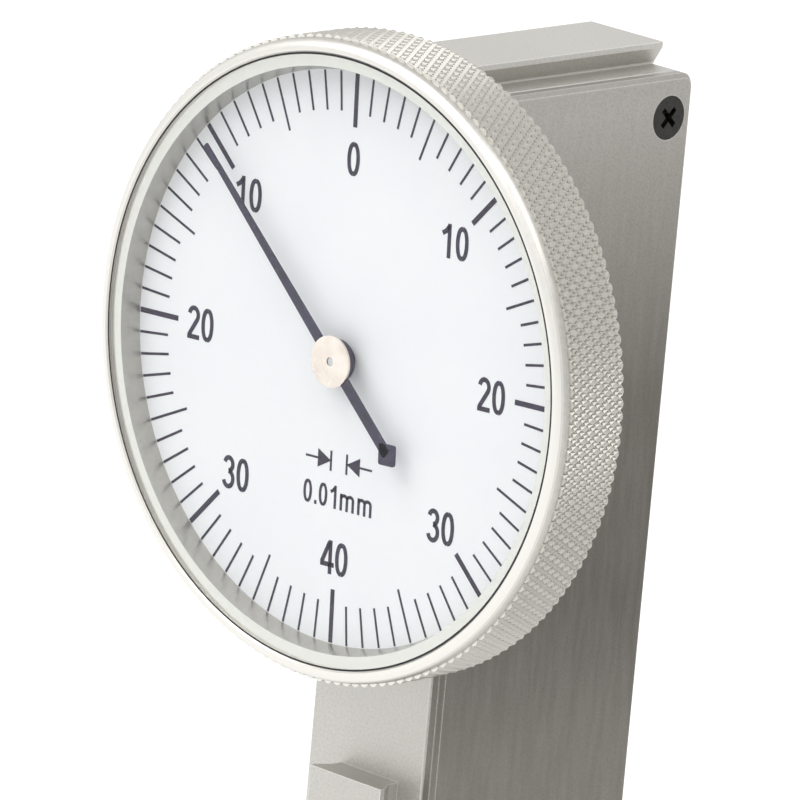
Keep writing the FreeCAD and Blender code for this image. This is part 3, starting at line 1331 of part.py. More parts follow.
# ---------------------------------------------------------------- the whole instrument
def main():
    make_housing()
    make_side_cover()
    make_cover_screws()
    make_dial_case()
    make_bezel()
    make_bezel_pieces()
    make_pointer()
    make_pointer_pieces()
    make_centre_pinion()
    make_sector_pinion()
    make_crown_gear()
    make_crown_arbor()
    make_sector()
    make_movement_bridge()
    make_centre_cock()
    make_jewels()
    make_small_screws()
    make_hairspring_stud(make_hairspring())
    make_stop_pins()
    make_return_spring()
    make_lever()
    make_rivets()
    make_pivot_pieces()
    make_stylus()
    doc.recompute()
    for item in doc.Objects:
        if "Invalid" in item.State or "Error" in item.State:
            raise RuntimeError("%s did not compute: %s" % (item.Name, item.State))
    os.makedirs("parts", exist_ok=True)
    for node in NODES:
        shape = node.Shape
        if shape.isNull() or not shape.isValid():
            raise RuntimeError("%s has no valid shape" % node.Label)
    for node in NODES:
        shape = node.Shape
        shape.exportStep("parts/%s.step" % node.Label)
        box = shape.BoundBox
        print("%-18s solids %d  volume %9.3f  x %7.2f %7.2f  y %7.2f %7.2f  z %7.2f %7.2f" % (
            node.Label, len(shape.Solids), shape.Volume,
            box.XMin, box.XMax, box.YMin, box.YMax, box.ZMin, box.ZMax))


main()
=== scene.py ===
"""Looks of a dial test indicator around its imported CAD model.

The dial faces -Y, the dovetail that holds the indicator is on top, and the stylus hangs at the bottom.
Lengths in the tables below are in millimetres, angles in degrees.
"""

import json
import math

import bpy
from mathutils import Matrix, Vector


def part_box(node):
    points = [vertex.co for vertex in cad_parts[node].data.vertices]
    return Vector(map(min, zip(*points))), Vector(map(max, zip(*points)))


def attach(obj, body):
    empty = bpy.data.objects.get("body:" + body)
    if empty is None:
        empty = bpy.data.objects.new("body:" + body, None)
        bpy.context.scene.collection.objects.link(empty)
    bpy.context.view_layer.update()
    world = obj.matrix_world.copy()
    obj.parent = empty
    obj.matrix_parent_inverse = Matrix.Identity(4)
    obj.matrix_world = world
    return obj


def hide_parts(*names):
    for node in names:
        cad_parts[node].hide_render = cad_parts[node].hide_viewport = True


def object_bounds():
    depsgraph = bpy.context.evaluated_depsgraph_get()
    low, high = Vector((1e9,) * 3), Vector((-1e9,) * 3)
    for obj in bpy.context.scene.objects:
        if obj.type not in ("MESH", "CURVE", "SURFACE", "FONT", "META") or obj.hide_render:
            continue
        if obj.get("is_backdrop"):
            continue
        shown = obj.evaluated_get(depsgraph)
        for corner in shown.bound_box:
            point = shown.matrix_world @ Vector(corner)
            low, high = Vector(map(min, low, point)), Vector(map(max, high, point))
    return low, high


MM = 0.001

# view
AIM = (4.787, -0.15, -1.365)  # what the camera looks at, from the dial's centre
CAMERA_DISTANCE = 578.7
CAMERA_AZIMUTH = 43.126
CAMERA_ELEVATION = 14.151
CAMERA_ROLL = 5.13
LENS = 437.9

# dial print, in the dial's own upright frame
DIAL_TURN = -3.05             # of the dial in the body, minus is anticlockwise
DIVISIONS = 80
DIVISIONS_PER_NUMBER = 10
TICK_OUTER = 17.4
TICK_INNER = 15.0
LONG_TICK_INNER = 14.12
TICK_WIDTH = 0.16
NUMBER_TICK_WIDTH = 0.33
NUMBER_RING = 12.2
NUMBER_HEIGHT = 2.07
DIGIT_STEP = 1.19             # between the centres of two digits
STROKE = 0.14                 # pen width as a share of a digit's height
ARROW_DROP = 6.32
ARROW_TIP = 0.66
ARROW_HEAD_END = 1.76
ARROW_END = 2.78
ARROW_HEAD_HEIGHT = 1.14
ARROW_LINE = 0.13
ARROW_BAR_HEIGHT = 1.24
ARROW_BAR_WIDTH = 0.16
UNIT_MARKS = (("0", -2.49), (".", -1.81), ("0", -1.19), ("1", -0.26), ("m", 0.83), ("m", 2.3))
UNIT_DROP = 8.48
UNIT_HEIGHT = 1.42
INK_LIFT = 0.006
INK_THICKNESS = 0.01

# pointer
POINTER_TURN = -48.5          # from upright, minus is anticlockwise
POINTER_TIP = 16.1
POINTER_TIP_WIDTH = 0.3
POINTER_WIDTH = 0.68
HUB_RADIUS = 1.0
WEIGHT_DROP = 6.86
WEIGHT_CORNER = 0.92          # centre of the square weight to its corners
WEIGHT_ROUND = 0.16

# side cover: painted light and shade, its grey from the bottom (0) to the top (1), darkest near mid height as
# painted shade from the bezel and lightest at the top as painted light
COVER_PAINTED_SHADING = [(0.1, "#7f7b75"), (0.3, "#75716b"), (0.44, "#625e59"), (0.67, "#6b6761"),
                (0.88, "#96938d"), (0.97, "#a8a5a0")]

# bezel; lengths from the front run back along the dial's axis
KNURL_COUNT = 160             # diamonds round the rim
KNURL_PITCH = 1.24            # along the axis
KNURL_DEPTH = 0.24
KNURL_STEPS = 4               # mesh steps for each diamond, each way
RIM_LIP_SET_BACK = 0.2        # lip inside the knurled rim
RIM_LIP_ROUND = 0.75
RIM_LIP_DEPTH = 0.76
RIM_CHAMFER = 0.25
RIM_LEDGE = 0.85              # from the crystal's bore to the sight opening's edge
RIM_WALL_SLOPE = 0.3
RIM_BACK_WALL = 1.35
KNURL_BULGE = 0.8             # under 1 makes the diamonds fuller
SHARP_ANGLE = 28              # bezel edges sharper than this stay crisp
ARC_STEPS = 8
SEAT_GAP = 0.02               # between the crystal and its ledge
GASKET_WIDTH = 0.12
BORE_EDGE = (0.1, 0.12)       # bevel at the mouth of the bore: outwards, along the axis
DIAL_THICKNESS = 0.4

# studio
WORLD_LEVEL = 0.6
FLOOR_GLOW = 0.4
FLOOR_REACH = 4000
FLOOR_GAP = 0.2               # under the stylus
LAMPS = [                     # name, azimuth, elevation, distance, size (both in metres), level
    ("key", -35, 50, 0.9, (0.7, 0.7), 0.48),
    ("top", 75, 55, 0.16, (0.1, 0.1), 0.25),
]


def colour(code):
    """Scene-linear colour from a screen colour such as "#c8c6c0"."""
    shares = [int(code[i:i + 2], 16) / 255 for i in (1, 3, 5)]
    linear = [s / 12.92 if s <= 0.04045 else ((s + 0.055) / 1.055) ** 2.4 for s in shares]
    return (*linear, 1.0)


# ---------------------------------------------------------------- materials

class Finish:
    """A material built round one Principled shader, patterned in the object's own space."""

    def __init__(self, name, base, roughness, metallic=0.0):
        self.material = bpy.data.materials.new(name)
        self.material.use_nodes = True
        self.nodes = self.material.node_tree.nodes
        self.links = self.material.node_tree.links
        self.shader = self.nodes["Principled BSDF"]
        self.set("Base Color", colour(base))
        self.set("Roughness", roughness)
        self.set("Metallic", metallic)
        self.place = self.nodes.new("ShaderNodeTexCoord").outputs["Object"]
        self.normal = None

    def set(self, socket, value):
        self.shader.inputs[socket].default_value = value

    def stretched(self, x, y, z):
        """The object's space, squeezed along each axis before a pattern is laid on it."""
        mapping = self.nodes.new("ShaderNodeMapping")
        mapping.inputs["Scale"].default_value = (x, y, z)
        self.links.new(self.place, mapping.inputs["Vector"])
        return mapping.outputs["Vector"]

    def noise(self, grain, detail=4.0, place=None):
        """Noise whose features are about grain millimetres across."""
        noise = self.nodes.new("ShaderNodeTexNoise")
        noise.inputs["Scale"].default_value = 1 / (grain * MM)
        noise.inputs["Detail"].default_value = detail
        self.links.new(place or self.place, noise.inputs["Vector"])
        return noise.outputs["Fac"]

    def ramp(self, value, stops):
        """Maps a value through (position, colour) stops."""
        ramp = self.nodes.new("ShaderNodeValToRGB")
        elements = ramp.color_ramp.elements
        while len(elements) < len(stops):
            elements.new(0.5)
        for element, (position, code) in zip(elements, stops):
            element.position = position
            element.color = colour(code)
        self.links.new(value, ramp.inputs["Fac"])
        return ramp.outputs["Color"]

    def span(self, value, low, high, to_low, to_high):
        """Maps low..high onto to_low..to_high, held at the ends."""
        span = self.nodes.new("ShaderNodeMapRange")
        for socket, number in zip(("From Min", "From Max", "To Min", "To Max"),
                                  (low, high, to_low, to_high)):
            span.inputs[socket].default_value = number
        self.links.new(value, span.inputs["Value"])
        return span.outputs["Result"]

    def mixed(self, share, first, second):
        mix = self.nodes.new("ShaderNodeMix")
        mix.data_type = "RGBA"
        for socket, source in (("Factor", share), ("A", first), ("B", second)):
            target = next(s for s in mix.inputs if s.name == socket and s.enabled)
            if isinstance(source, (float, tuple)):
                target.default_value = source
            else:
                self.links.new(source, target)
        return next(s for s in mix.outputs if s.enabled)

    def edge_share(self, radius):
        """1 along sharp edges, falling to 0 about radius millimetres into the faces."""
        bevel = self.nodes.new("ShaderNodeBevel")
        bevel.inputs["Radius"].default_value = radius * MM
        flat = self.nodes.new("ShaderNodeNewGeometry").outputs["True Normal"]
        dot = self.nodes.new("ShaderNodeVectorMath")
        dot.operation = "DOT_PRODUCT"
        self.links.new(bevel.outputs["Normal"], dot.inputs[0])
        self.links.new(flat, dot.inputs[1])
        return self.span(dot.outputs["Value"], 0.97, 0.8, 0.0, 1.0)

    def facing_share(self, low, high):
        """0 on faces that run along the dial's axis, 1 on faces square to it."""
        split = self.nodes.new("ShaderNodeSeparateXYZ")
        self.links.new(self.nodes.new("ShaderNodeNewGeometry").outputs["True Normal"], split.inputs["Vector"])
        square = self.nodes.new("ShaderNodeMath")
        square.operation = "MULTIPLY"
        self.links.new(split.outputs["Y"], square.inputs[0])
        self.links.new(split.outputs["Y"], square.inputs[1])
        return self.span(square.outputs["Value"], low, high, 0.0, 1.0)

    def paint(self, output, socket="Base Color"):
        self.links.new(output, self.shader.inputs[socket])

    def bump(self, height, depth, strength=1.0):
        """Relief of depth millimetres; calls stack on each other."""
        bump = self.nodes.new("ShaderNodeBump")
        bump.inputs["Distance"].default_value = depth * MM
        bump.inputs["Strength"].default_value = strength
        self.links.new(height, bump.inputs["Height"])
        if self.normal:
            self.links.new(self.normal, bump.inputs["Normal"])
        self.normal = bump.outputs["Normal"]
        self.links.new(self.normal, self.shader.inputs["Normal"])


def blasted_metal(name, dark, light, bright, roughness, grain=0.16, relief=0.012):
    """Bead-blasted satin metal: fine speckle, faint clouds, and a light colour along the sharp edges that is
    partly bare machined metal and partly a painted highlight.
    """
    finish = Finish(name, light, roughness, metallic=0.85)
    speckle = finish.noise(grain, 3.0)
    clouds = finish.noise(9.0, 2.0)
    base = finish.ramp(speckle, [(0.32, dark), (0.62, light)])
    shaded = finish.mixed(finish.span(clouds, 0.35, 0.65, 0.0, 0.25), base, colour(dark))
    # light colour along the sharp edges: partly bare machined metal, partly a painted highlight
    finish.paint(finish.mixed(finish.edge_share(0.12), shaded, colour(bright)))
    finish.paint(finish.span(speckle, 0.3, 0.7, roughness - 0.08, roughness + 0.08), "Roughness")
    finish.bump(speckle, relief)
    return finish.material


def satin_cover():
    """Side cover: satin plate with a faint upright grain; its grey is painted light and shade up its height,
    lightest at the top, with a painted highlight along its edges.
    """
    finish = Finish("satin_cover", "#918f89", 0.42, metallic=0.9)
    grain = finish.noise(0.5, 5.0, finish.stretched(1.0, 1.0, 0.12))
    speckle = finish.noise(0.14, 2.0)
    split = finish.nodes.new("ShaderNodeSeparateXYZ")
    finish.links.new(finish.nodes.new("ShaderNodeTexCoord").outputs["Generated"], split.inputs["Vector"])
    # painted light and shade: the grey follows the cover's height, darkest near mid height and lightest at
    # the top
    base = finish.ramp(split.outputs["Z"], COVER_PAINTED_SHADING)
    grained = finish.mixed(finish.span(grain, 0.35, 0.7, 0.0, 0.05), base, colour("#d8d6d0"))
    dusted = finish.mixed(finish.span(speckle, 0.45, 0.75, 0.0, 0.18), grained, colour("#55534f"))
    # light grey along the sharp edges: partly bare machined chamfers, partly a painted highlight
    finish.paint(finish.mixed(finish.edge_share(0.15), dusted, colour("#e4e3de")))
    finish.paint(finish.span(speckle, 0.3, 0.7, 0.36, 0.48), "Roughness")
    finish.bump(speckle, 0.008)
    return finish.material


def matt_chrome():
    """Bezel: matt chrome; faces that run along the dial's axis, the knurled band among them, are painted
    darker and faces square to it lighter, as painted shade and painted light.
    """
    finish = Finish("matt_chrome", "#cbc9c3", 0.36, metallic=0.8)
    haze = finish.noise(0.3, 3.0)
    knurl = finish.ramp(haze, [(0.3, "#b5b3ac"), (0.7, "#c1beb8")])
    # painted light and shade: faces square to the dial's axis, such as the lip's front, are painted lighter
    # than the knurled band
    finish.paint(finish.mixed(finish.facing_share(0.15, 0.6), knurl, colour("#e6e4de")))
    finish.paint(finish.span(haze, 0.3, 0.7, 0.3, 0.42), "Roughness")
    finish.bump(finish.noise(0.08, 2.0), 0.004)
    return finish.material


def black_oxide():
    finish = Finish("black_oxide", "#1c1b1a", 0.42, metallic=0.4)
    patches = finish.noise(0.35, 4.0)
    finish.paint(finish.ramp(patches, [(0.35, "#141312"), (0.7, "#2e2b28")]))
    finish.paint(finish.span(patches, 0.3, 0.7, 0.32, 0.5), "Roughness")
    finish.bump(finish.noise(0.1, 2.0), 0.006)
    return finish.material


def turned_metal(name, dark, light, roughness, line=0.05):
    """Small turned parts: fine lathe lines along X, a little tarnish."""
    finish = Finish(name, light, roughness, metallic=1.0)
    lines = finish.noise(line, 2.0, finish.stretched(1.0, 0.2, 0.2))
    tarnish = finish.noise(1.2, 3.0)
    base = finish.ramp(tarnish, [(0.3, dark), (0.65, light)])
    finish.paint(base)
    finish.paint(finish.span(lines, 0.3, 0.7, roughness - 0.05, roughness + 0.08), "Roughness")
    finish.bump(lines, 0.002)
    return finish.material


def ruby():
    finish = Finish("ruby", "#a01228", 0.08)
    depth = finish.noise(0.4, 2.0)
    finish.paint(finish.ramp(depth, [(0.3, "#7c0a1c"), (0.7, "#b81c36")]))
    finish.set("Coat Weight", 0.6)
    return finish.material


def crystal_glass():
    """Bloomed glass; its narrow edge is left clear, so the faces alone bend the light."""
    finish = Finish("crystal_glass", "#fbfdfd", 0.0)
    finish.set("Transmission Weight", 1.0)
    finish.set("IOR", 1.5)
    finish.set("Specular Tint", (0.15, 0.15, 0.15, 1.0))
    finish.paint(finish.span(finish.noise(3.0, 2.0), 0.3, 0.7, 0.0, 0.012), "Roughness")
    clear = finish.nodes.new("ShaderNodeBsdfTransparent")
    mix = finish.nodes.new("ShaderNodeMixShader")
    finish.links.new(finish.facing_share(0.4, 0.6), mix.inputs["Fac"])
    finish.links.new(clear.outputs["BSDF"], mix.inputs[1])
    finish.links.new(finish.shader.outputs["BSDF"], mix.inputs[2])
    finish.links.new(mix.outputs["Shader"], finish.nodes["Material Output"].inputs["Surface"])
    return finish.material


def black_rubber():
    finish = Finish("black_rubber", "#1d1d1e", 0.6)
    pores = finish.noise(0.08, 3.0)
    finish.paint(finish.ramp(pores, [(0.3, "#161617"), (0.7, "#262627")]))
    finish.bump(pores, 0.004)
    return finish.material


def dial_paint():
    """White dial enamel with a faint lavender cast and a fine orange-peel."""
    finish = Finish("dial_paint", "#f1f1f5", 0.5)
    cloud = finish.noise(6.0, 2.0)
    finish.paint(finish.ramp(cloud, [(0.3, "#f9f9fc"), (0.7, "#fcfcfe")]))
    finish.paint(finish.span(cloud, 0.3, 0.7, 0.45, 0.55), "Roughness")
    finish.bump(finish.noise(0.25, 2.0), 0.002)
    return finish.material


def dark_lacquer(name, dark, light, roughness):
    """Printing ink and pointer lacquer: blue-black, not quite even."""
    finish = Finish(name, light, roughness)
    cover = finish.noise(0.5, 4.0)
    finish.paint(finish.ramp(cover, [(0.3, dark), (0.7, light)]))
    finish.paint(finish.span(cover, 0.3, 0.7, roughness - 0.06, roughness + 0.06), "Roughness")
    return finish.material


def make_finishes():
    """One material for each of the record's material slots."""
    return {
        "body_steel": blasted_metal("blasted_body", "#bab8b2", "#cbc9c4", "#f1f0ec", 0.46),
        "cover_steel": satin_cover(),
        "bezel_metal": matt_chrome(),
        "black_screw": black_oxide(),
        "bright_steel": turned_metal("bright_steel", "#b9b9bb", "#c9c9ca", 0.24),
        "spring_steel": turned_metal("spring_steel", "#50546a", "#8f93a2", 0.3),
        "movement_brass": turned_metal("movement_brass", "#a07a35", "#cfa85c", 0.28),
        "ruby": ruby(),
        "crystal_glass": crystal_glass(),
        "gasket_black": black_rubber(),
        "dial_white": dial_paint(),
        "pointer_blue": dark_lacquer("pointer_lacquer", "#241d33", "#3c3350", 0.4),
        "cap_nickel": turned_metal("cap_nickel", "#e6d8ce", "#f3e7de", 0.3),
        "carbide": turned_metal("carbide", "#4c4c50", "#77777c", 0.18),
    }


def dress_nodes(finishes):
    """Every CAD node takes the finish of its slot in the record; the pointer's boss takes the pointer's dark
    lacquer instead, as painted shade for the dark hole in the dial round it.
    """
    for part in frame["record"]["subparts"]:
        node = frame["nodes"][part["node"]]
        # painted shade: the boss is made dark like the pointer to stand for the shaded hole in the dial round
        # it
        slot = "pointer_blue" if part["node"] == "pointer_boss" else part["material_slot"]
        node.data.materials.clear()
        node.data.materials.append(finishes[slot])


def pass_rays(node, *kinds):
    """Rays of these kinds go past a CAD node as if it weren't there."""
    for kind in kinds:
        setattr(frame["nodes"][node], "visible_" + kind, False)


# ---------------------------------------------------------------- meshes

def new_piece(name, points, faces, material, smooth=False):
    """A mesh object with one material."""
    mesh = bpy.data.meshes.new(name)
    mesh.from_pydata(points, [], faces)
    mesh.polygons.foreach_set("use_smooth", [smooth] * len(faces))
    mesh.materials.append(material)
    piece = bpy.data.objects.new(name, mesh)
    bpy.context.scene.collection.objects.link(piece)
    return piece


def dial_place():
    """Dial centre and the front face of the dial plate, in metres."""
    low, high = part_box("dial_plate")
    return Vector(((low.x + high.x) / 2, low.y, (low.z + high.z) / 2))


def dial_matrix(turn=DIAL_TURN):
    """From the dial's own frame (right, up, towards the viewer; millimetres) to the row frame."""
    upright = Matrix(((1, 0, 0), (0, 0, -1), (0, 1, 0))).to_4x4()
    turned = Matrix.Rotation(math.radians(turn), 4, "Y")
    return Matrix.Translation(dial_place()) @ turned @ upright @ Matrix.Scale(MM, 4)


def slab(outline, back, front):
    """Points and faces of a flat shape between two levels, given its outline anticlockwise."""
    count = len(outline)
    points = [(x, y, level) for level in (back, front) for x, y in outline]
    sides = [(i, (i + 1) % count, (i + 1) % count + count, i + count) for i in range(count)]
    return points, [tuple(range(count, 2 * count)), tuple(reversed(range(count)))] + sides


def ellipse(x, y, across, high, start, end, fullness=1.0):
    """Points on an ellipse between two angles; fullness under 1 squares it up."""
    steps = 2 * ARC_STEPS
    angles = [math.radians(start + (end - start) * i / steps) for i in range(steps + 1)]
    return [(x + across * math.copysign(abs(math.cos(a)) ** fullness, math.cos(a)), y + high * math.sin(a))
            for a in angles]


# pen strokes of each mark, centred, in shares of a digit's height
GLYPHS = {
    "0": [ellipse(0, 0, 0.18, 0.43, 90, 270, 0.8), ellipse(0, 0, 0.18, 0.43, -90, 90, 0.8)],
    "1": [[(0.06, -0.5), (0.06, 0.5)], [(0.05, 0.42), (-0.07, 0.28), (-0.21, 0.2)]],
    "2": [ellipse(0, 0.22, 0.18, 0.21, 170, -35) + [(-0.17, -0.38)], [(-0.24, -0.43), (0.25, -0.43)]],
    "3": [ellipse(-0.01, 0.235, 0.165, 0.195, 165, -90), ellipse(-0.01, -0.2, 0.19, 0.23, 90, -165)],
    "4": [[(0.12, -0.5), (0.12, 0.5)], [(0.08, 0.45), (-0.21, -0.17)], [(-0.27, -0.22), (0.28, -0.22)]],
    "m": [[(-0.35, -0.5), (-0.35, 0.22)], ellipse(-0.175, 0.02, 0.175, 0.14, 180, 0) + [(0, -0.5)],
          ellipse(0.175, 0.02, 0.175, 0.14, 180, 0) + [(0.35, -0.5)]],
    ".": [[(0, -0.5), (0, -0.34)]],
}


def ribbon(points, width):
    """Outline of a pen stroke along a line of points, anticlockwise."""
    points = [Vector(point) for point in points]
    right, left = [], []
    for i, point in enumerate(points):
        along = (points[min(i + 1, len(points) - 1)] - points[max(i - 1, 0)]).normalized()
        side = Vector((-along.y, along.x)) * (width / 2)
        right.append(tuple(point - side))
        left.append(tuple(point + side))
    return right + left[::-1]


def bar(centre, along, length, width):
    """Outline of a bar with square ends; along is a unit vector."""
    half_run = along * (length / 2)
    half_side = Vector((-along.y, along.x)) * (width / 2)
    corners = (-half_run - half_side, half_run - half_side, half_run + half_side, -half_run + half_side)
    return [tuple(centre + corner) for corner in corners]


def tick_outlines():
    for index in range(DIVISIONS):
        angle = 2 * math.pi * index / DIVISIONS
        along = Vector((math.sin(angle), math.cos(angle)))
        numbered = index % DIVISIONS_PER_NUMBER == 0
        long_tick = index % (DIVISIONS_PER_NUMBER // 2) == 0
        inner = LONG_TICK_INNER if long_tick else TICK_INNER
        width = NUMBER_TICK_WIDTH if numbered else TICK_WIDTH
        yield bar(along * (inner + TICK_OUTER) / 2, along, TICK_OUTER - inner, width)


def arrow_outlines():
    """The two arrows that meet at a pair of bars: the sign for one division's travel."""
    for side in (-1, 1):
        tip = Vector((side * ARROW_TIP, -ARROW_DROP))
        head_end = side * ARROW_HEAD_END
        yield bar(tip, Vector((0, 1)), ARROW_BAR_HEIGHT, ARROW_BAR_WIDTH)
        yield bar(Vector((side * (ARROW_HEAD_END + ARROW_END) / 2, -ARROW_DROP)), Vector((1, 0)),
                  ARROW_END - ARROW_HEAD_END, ARROW_LINE)
        yield [tuple(tip),
               (head_end, -ARROW_DROP - side * ARROW_HEAD_HEIGHT / 2),
               (head_end, -ARROW_DROP + side * ARROW_HEAD_HEIGHT / 2)]


def flat_piece(name, outlines, back, front, matrix, material):
    """One piece made of flat shapes that all lie between two levels."""
    points, faces = [], []
    for outline in outlines:
        new_points, new_faces = slab(outline, back, front)
        faces += [tuple(i + len(points) for i in face) for face in new_faces]
        points += new_points
    piece = new_piece(name, points, faces, material)
    piece.data.transform(matrix)
    return piece


def print_shapes(name, outlines, ink):
    """Ink on the dial, which turns with the bezel."""
    piece = flat_piece(name, outlines, INK_LIFT, INK_LIFT + INK_THICKNESS, dial_matrix(), ink)
    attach(piece, "bezel_unit")


def print_marks(name, marks, centre, height, ink):
    """Marks are (glyph, place along the line of print)."""
    outlines = []
    for glyph, place in marks:
        for stroke in GLYPHS[glyph]:
            line = [(centre[0] + place + x * height, centre[1] + y * height) for x, y in stroke]
            outlines.append(ribbon(line, STROKE * height))
    print_shapes(name, outlines, ink)


def print_numbers(ink):
    """0 at the top, counting up both ways to 40 at the bottom."""
    count = DIVISIONS // DIVISIONS_PER_NUMBER
    for index in range(count):
        number = str(min(index, count - index) * DIVISIONS_PER_NUMBER)
        angle = 2 * math.pi * index / count
        centre = Vector((math.sin(angle), math.cos(angle))) * NUMBER_RING
        marks = [(digit, (i - (len(number) - 1) / 2) * DIGIT_STEP) for i, digit in enumerate(number)]
        print_marks("number_%d" % index, marks, centre, NUMBER_HEIGHT, ink)


def print_dial():
    ink = dark_lacquer("dial_ink", "#221a2e", "#3b3149", 0.55)
    print_shapes("dial_ticks", tick_outlines(), ink)
    print_shapes("dial_arrows", arrow_outlines(), ink)
    print_numbers(ink)
    print_marks("dial_unit", UNIT_MARKS, (0, -UNIT_DROP), UNIT_HEIGHT, ink)


# ---------------------------------------------------------------- pointer

def pointer_outlines():
    """Tapered blade, hub and a square weight that hangs by a rounded corner, pointing up."""
    tip, half = POINTER_TIP_WIDTH / 2, POINTER_WIDTH / 2
    yield [(-half, -WEIGHT_DROP), (half, -WEIGHT_DROP), (half, 0), (tip, POINTER_TIP),
           (-tip, POINTER_TIP), (-half, 0)]
    yield ellipse(0, 0, HUB_RADIUS, HUB_RADIUS, 0, 360)[:-1]
    reach = WEIGHT_CORNER - WEIGHT_ROUND * math.sqrt(2)
    weight = []
    for corner in (-90, 0, 90, 180):
        x, y = reach * math.cos(math.radians(corner)), reach * math.sin(math.radians(corner))
        weight += ellipse(x, y - WEIGHT_DROP, WEIGHT_ROUND, WEIGHT_ROUND, corner - 45, corner + 45)
    yield weight


def make_pointer(material):
    """Pointer whose square weight hangs by a corner, in place of the CAD's plain one."""
    low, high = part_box("pointer")
    face = dial_place().y
    pointer = flat_piece("pointer_hand", pointer_outlines(), (face - high.y) / MM, (face - low.y) / MM,
                         dial_matrix(POINTER_TURN), material)
    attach(pointer, "pointer_unit")
    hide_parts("pointer")


# ---------------------------------------------------------------- bezel

def arc_points(centre, radius, start, end):
    """(radius, depth) points on an arc between two angles, degrees from straight out."""
    angles = [math.radians(start + (end - start) * i / ARC_STEPS) for i in range(ARC_STEPS + 1)]
    return [(centre[0] + radius * math.cos(a), centre[1] + radius * math.sin(a)) for a in angles]


def rim_profile():
    """The bezel's section as (radius, depth, knurled) points in millimetres.

    It runs from the dial up the sight wall, over the lip, back along the rim and in to the bore.
    Depth is along Y from the dial's front face, minus is towards the viewer.
    """
    low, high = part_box("bezel")
    crystal_low, crystal_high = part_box("crystal")
    face = dial_place().y
    rim = (high.x - low.x) / 2 / MM
    front = (low.y - face) / MM
    back = (high.y - face) / MM
    ledge_depth = (crystal_high.y - face) / MM + SEAT_GAP
    bore = (crystal_high.x - crystal_low.x) / 2 / MM + GASKET_WIDTH
    lip = rim - RIM_LIP_SET_BACK
    knurl_front = front + RIM_LIP_DEPTH
    ledge = bore - RIM_LEDGE
    opening = ledge - RIM_WALL_SLOPE
    plain = [(opening, 0.0), (ledge, ledge_depth), (bore, ledge_depth), (bore, front + BORE_EDGE[1]),
             (bore + BORE_EDGE[0], front)]
    plain += arc_points((lip - RIM_LIP_ROUND, front + RIM_LIP_ROUND), RIM_LIP_ROUND, -90, 0)
    plain += [(lip, knurl_front)]
    steps = round((back - RIM_CHAMFER - knurl_front) / KNURL_PITCH * KNURL_STEPS)
    pitch = (back - RIM_CHAMFER - knurl_front) / steps
    band = [(rim, knurl_front + pitch * i) for i in range(steps + 1)]
    inner = rim - RIM_BACK_WALL
    closing = [(rim - KNURL_DEPTH - RIM_CHAMFER, back), (inner, back), (inner, DIAL_THICKNESS),
               (opening, DIAL_THICKNESS)]
    profile = [(r, d, None) for r, d in plain]
    profile += [(r, d, step) for step, (r, d) in enumerate(band)]
    return profile + [(r, d, None) for r, d in closing]


def knurl_height(turn_step, depth_step):
    """0 in the crossing grooves, 1 on the diamonds' tops."""
    shares = [((turn_step + sign * depth_step) / KNURL_STEPS) % 1.0 for sign in (-1, 1)]
    nearest = min(min(share, 1 - share) for share in shares)
    return math.sin(math.pi * nearest) ** KNURL_BULGE


def make_bezel(material):
    """Knurled bezel that shows in place of the CAD's plain one."""
    profile = rim_profile()
    around = KNURL_COUNT * KNURL_STEPS
    centre = dial_place()
    points = []
    for turn in range(around):
        angle = 2 * math.pi * turn / around
        for radius, depth, step in profile:
            if step is not None:
                radius -= KNURL_DEPTH * (1 - knurl_height(turn, step))
            points.append((centre.x + radius * MM * math.sin(angle), centre.y + depth * MM,
                           centre.z + radius * MM * math.cos(angle)))
    count = len(profile)
    faces = []
    for turn in range(around):
        here = turn * count
        there = (turn + 1) % around * count
        for k in range(count):
            after = (k + 1) % count
            corners = (here + k, here + after, there + after, there + k)
            step = profile[k][2]
            if step is None or profile[after][2] is None:
                faces.append(corners)
            elif (turn + step) % 2:
                faces += [corners[:3], (corners[0], corners[2], corners[3])]
            else:
                faces += [corners[1:], (corners[0], corners[1], corners[3])]
    bezel = new_piece("bezel_rim", points, faces, material, smooth=True)
    bezel.data.set_sharp_from_angle(angle=math.radians(SHARP_ANGLE))
    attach(bezel, "bezel_unit")
    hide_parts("bezel")


# ---------------------------------------------------------------- studio

def direction(azimuth, elevation):
    """Unit vector from the object towards a viewpoint; azimuth 0 is in front of the dial."""
    a, e = math.radians(azimuth), math.radians(elevation)
    return Vector((math.sin(a) * math.cos(e), -math.cos(a) * math.cos(e), math.sin(e)))


def make_camera():
    data = bpy.data.cameras.new("camera")
    data.lens = LENS
    data.clip_start = 0.05
    data.clip_end = 20
    camera = bpy.data.objects.new("camera", data)
    back = direction(CAMERA_AZIMUTH, CAMERA_ELEVATION)
    level_right = Vector((0, 0, 1)).cross(back).normalized()
    level_up = back.cross(level_right)
    roll = math.radians(CAMERA_ROLL)
    right = level_right * math.cos(roll) + level_up * math.sin(roll)
    up = back.cross(right)
    aim = dial_place() + Vector(AIM) * MM
    place = aim + back * CAMERA_DISTANCE * MM
    turn = Matrix((right, up, back)).transposed().to_4x4()
    camera.matrix_world = Matrix.Translation(place) @ turn
    bpy.context.scene.collection.objects.link(camera)
    bpy.context.scene.camera = camera


def area_light(name, azimuth, elevation, distance, size, level):
    """A soft box, distances in metres; level is what it adds to a white surface that faces it."""
    data = bpy.data.lights.new(name, "AREA")
    data.shape = "RECTANGLE"
    data.size, data.size_y = size
    data.energy = math.pi ** 2 * level * distance ** 2
    light = bpy.data.objects.new(name, data)
    away = direction(azimuth, elevation)
    light.location = dial_place() + away * distance
    light.rotation_mode = "QUATERNION"
    light.rotation_quaternion = away.to_track_quat("Z", "Y")
    bpy.context.scene.collection.objects.link(light)


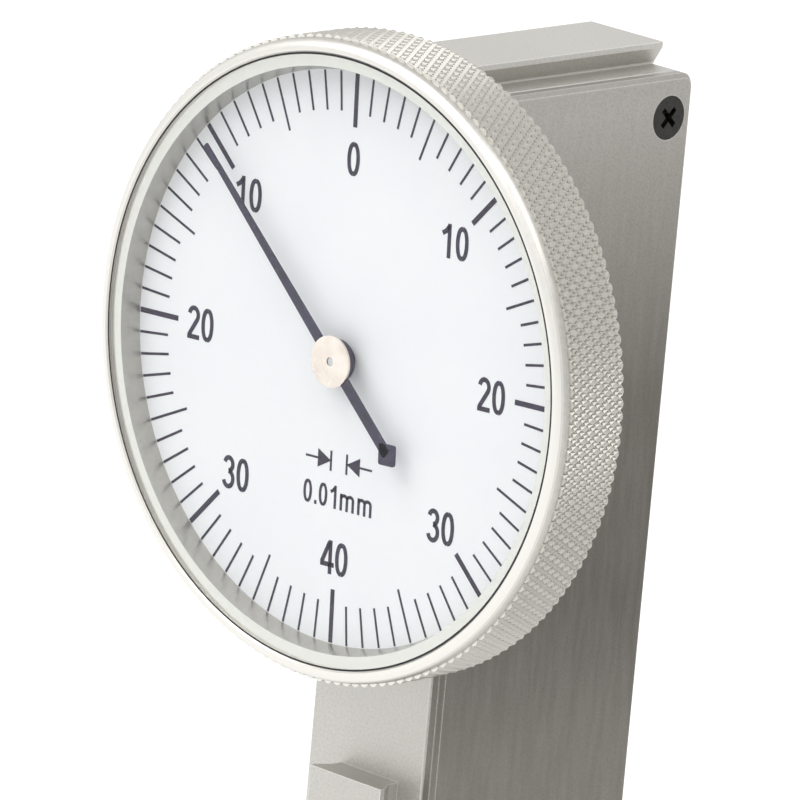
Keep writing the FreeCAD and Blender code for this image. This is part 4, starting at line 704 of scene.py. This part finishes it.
def backdrop_share(nodes, links):
    """1 for rays that see the background: from the camera, by reflection or through glass."""
    path = nodes.new("ShaderNodeLightPath")
    share = path.outputs["Is Camera Ray"]
    for kind in ("Is Glossy Ray", "Is Transmission Ray"):
        either = nodes.new("ShaderNodeMath")
        either.operation = "MAXIMUM"
        links.new(share, either.inputs[0])
        links.new(path.outputs[kind], either.inputs[1])
        share = either.outputs["Value"]
    return share


def make_world(level):
    world = bpy.data.worlds.new("studio")
    world.use_nodes = True
    nodes, links = world.node_tree.nodes, world.node_tree.links
    soft = nodes["Background"]
    soft.inputs["Color"].default_value = (1, 1, 1, 1)
    soft.inputs["Strength"].default_value = level
    white = nodes.new("ShaderNodeBackground")
    white.inputs["Strength"].default_value = 1.0
    white.inputs["Color"].default_value = (1, 1, 1, 1)
    mix = nodes.new("ShaderNodeMixShader")
    links.new(backdrop_share(nodes, links), mix.inputs["Fac"])
    links.new(soft.outputs["Background"], mix.inputs[1])
    links.new(white.outputs["Background"], mix.inputs[2])
    links.new(mix.outputs["Shader"], nodes["World Output"].inputs["Surface"])
    bpy.context.scene.world = world


def make_floor(glow):
    """Pale floor under the stylus; it glows a little where it is seen, and keeps its shadow."""
    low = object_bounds()[0]
    reach = FLOOR_REACH * MM
    z = low.z - FLOOR_GAP * MM
    corners = [(-reach, -reach, z), (reach, -reach, z), (reach, reach, z), (-reach, reach, z)]
    finish = Finish("floor", "#f4f4f4", 0.9)
    finish.paint(finish.ramp(finish.noise(60.0, 2.0), [(0.3, "#f3f3f3"), (0.7, "#f6f6f6")]))
    share = backdrop_share(finish.nodes, finish.links)
    finish.set("Emission Color", (1, 1, 1, 1))
    finish.paint(finish.span(share, 0.0, 1.0, 0.0, glow), "Emission Strength")
    new_piece("floor", corners, [(0, 1, 2, 3)], finish.material)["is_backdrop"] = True


def make_studio():
    make_world(WORLD_LEVEL)
    make_floor(FLOOR_GLOW)
    for lamp in LAMPS:
        area_light(*lamp)
    make_camera()
    bpy.context.scene.view_settings.view_transform = "Standard"


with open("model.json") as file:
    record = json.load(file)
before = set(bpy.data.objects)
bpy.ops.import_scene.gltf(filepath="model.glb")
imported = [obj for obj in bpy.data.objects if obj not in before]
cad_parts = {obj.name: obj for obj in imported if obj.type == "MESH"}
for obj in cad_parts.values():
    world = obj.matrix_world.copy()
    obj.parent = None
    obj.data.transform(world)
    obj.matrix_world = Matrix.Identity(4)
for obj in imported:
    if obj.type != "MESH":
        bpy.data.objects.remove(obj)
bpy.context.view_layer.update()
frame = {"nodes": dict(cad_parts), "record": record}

finishes = make_finishes()
dress_nodes(finishes)
make_bezel(finishes["bezel_metal"])
make_pointer(finishes["pointer_blue"])
print_dial()
pass_rays("crystal", "shadow", "diffuse")
pass_rays("crystal_gasket", "transmission", "glossy", "diffuse", "shadow")
make_studio()
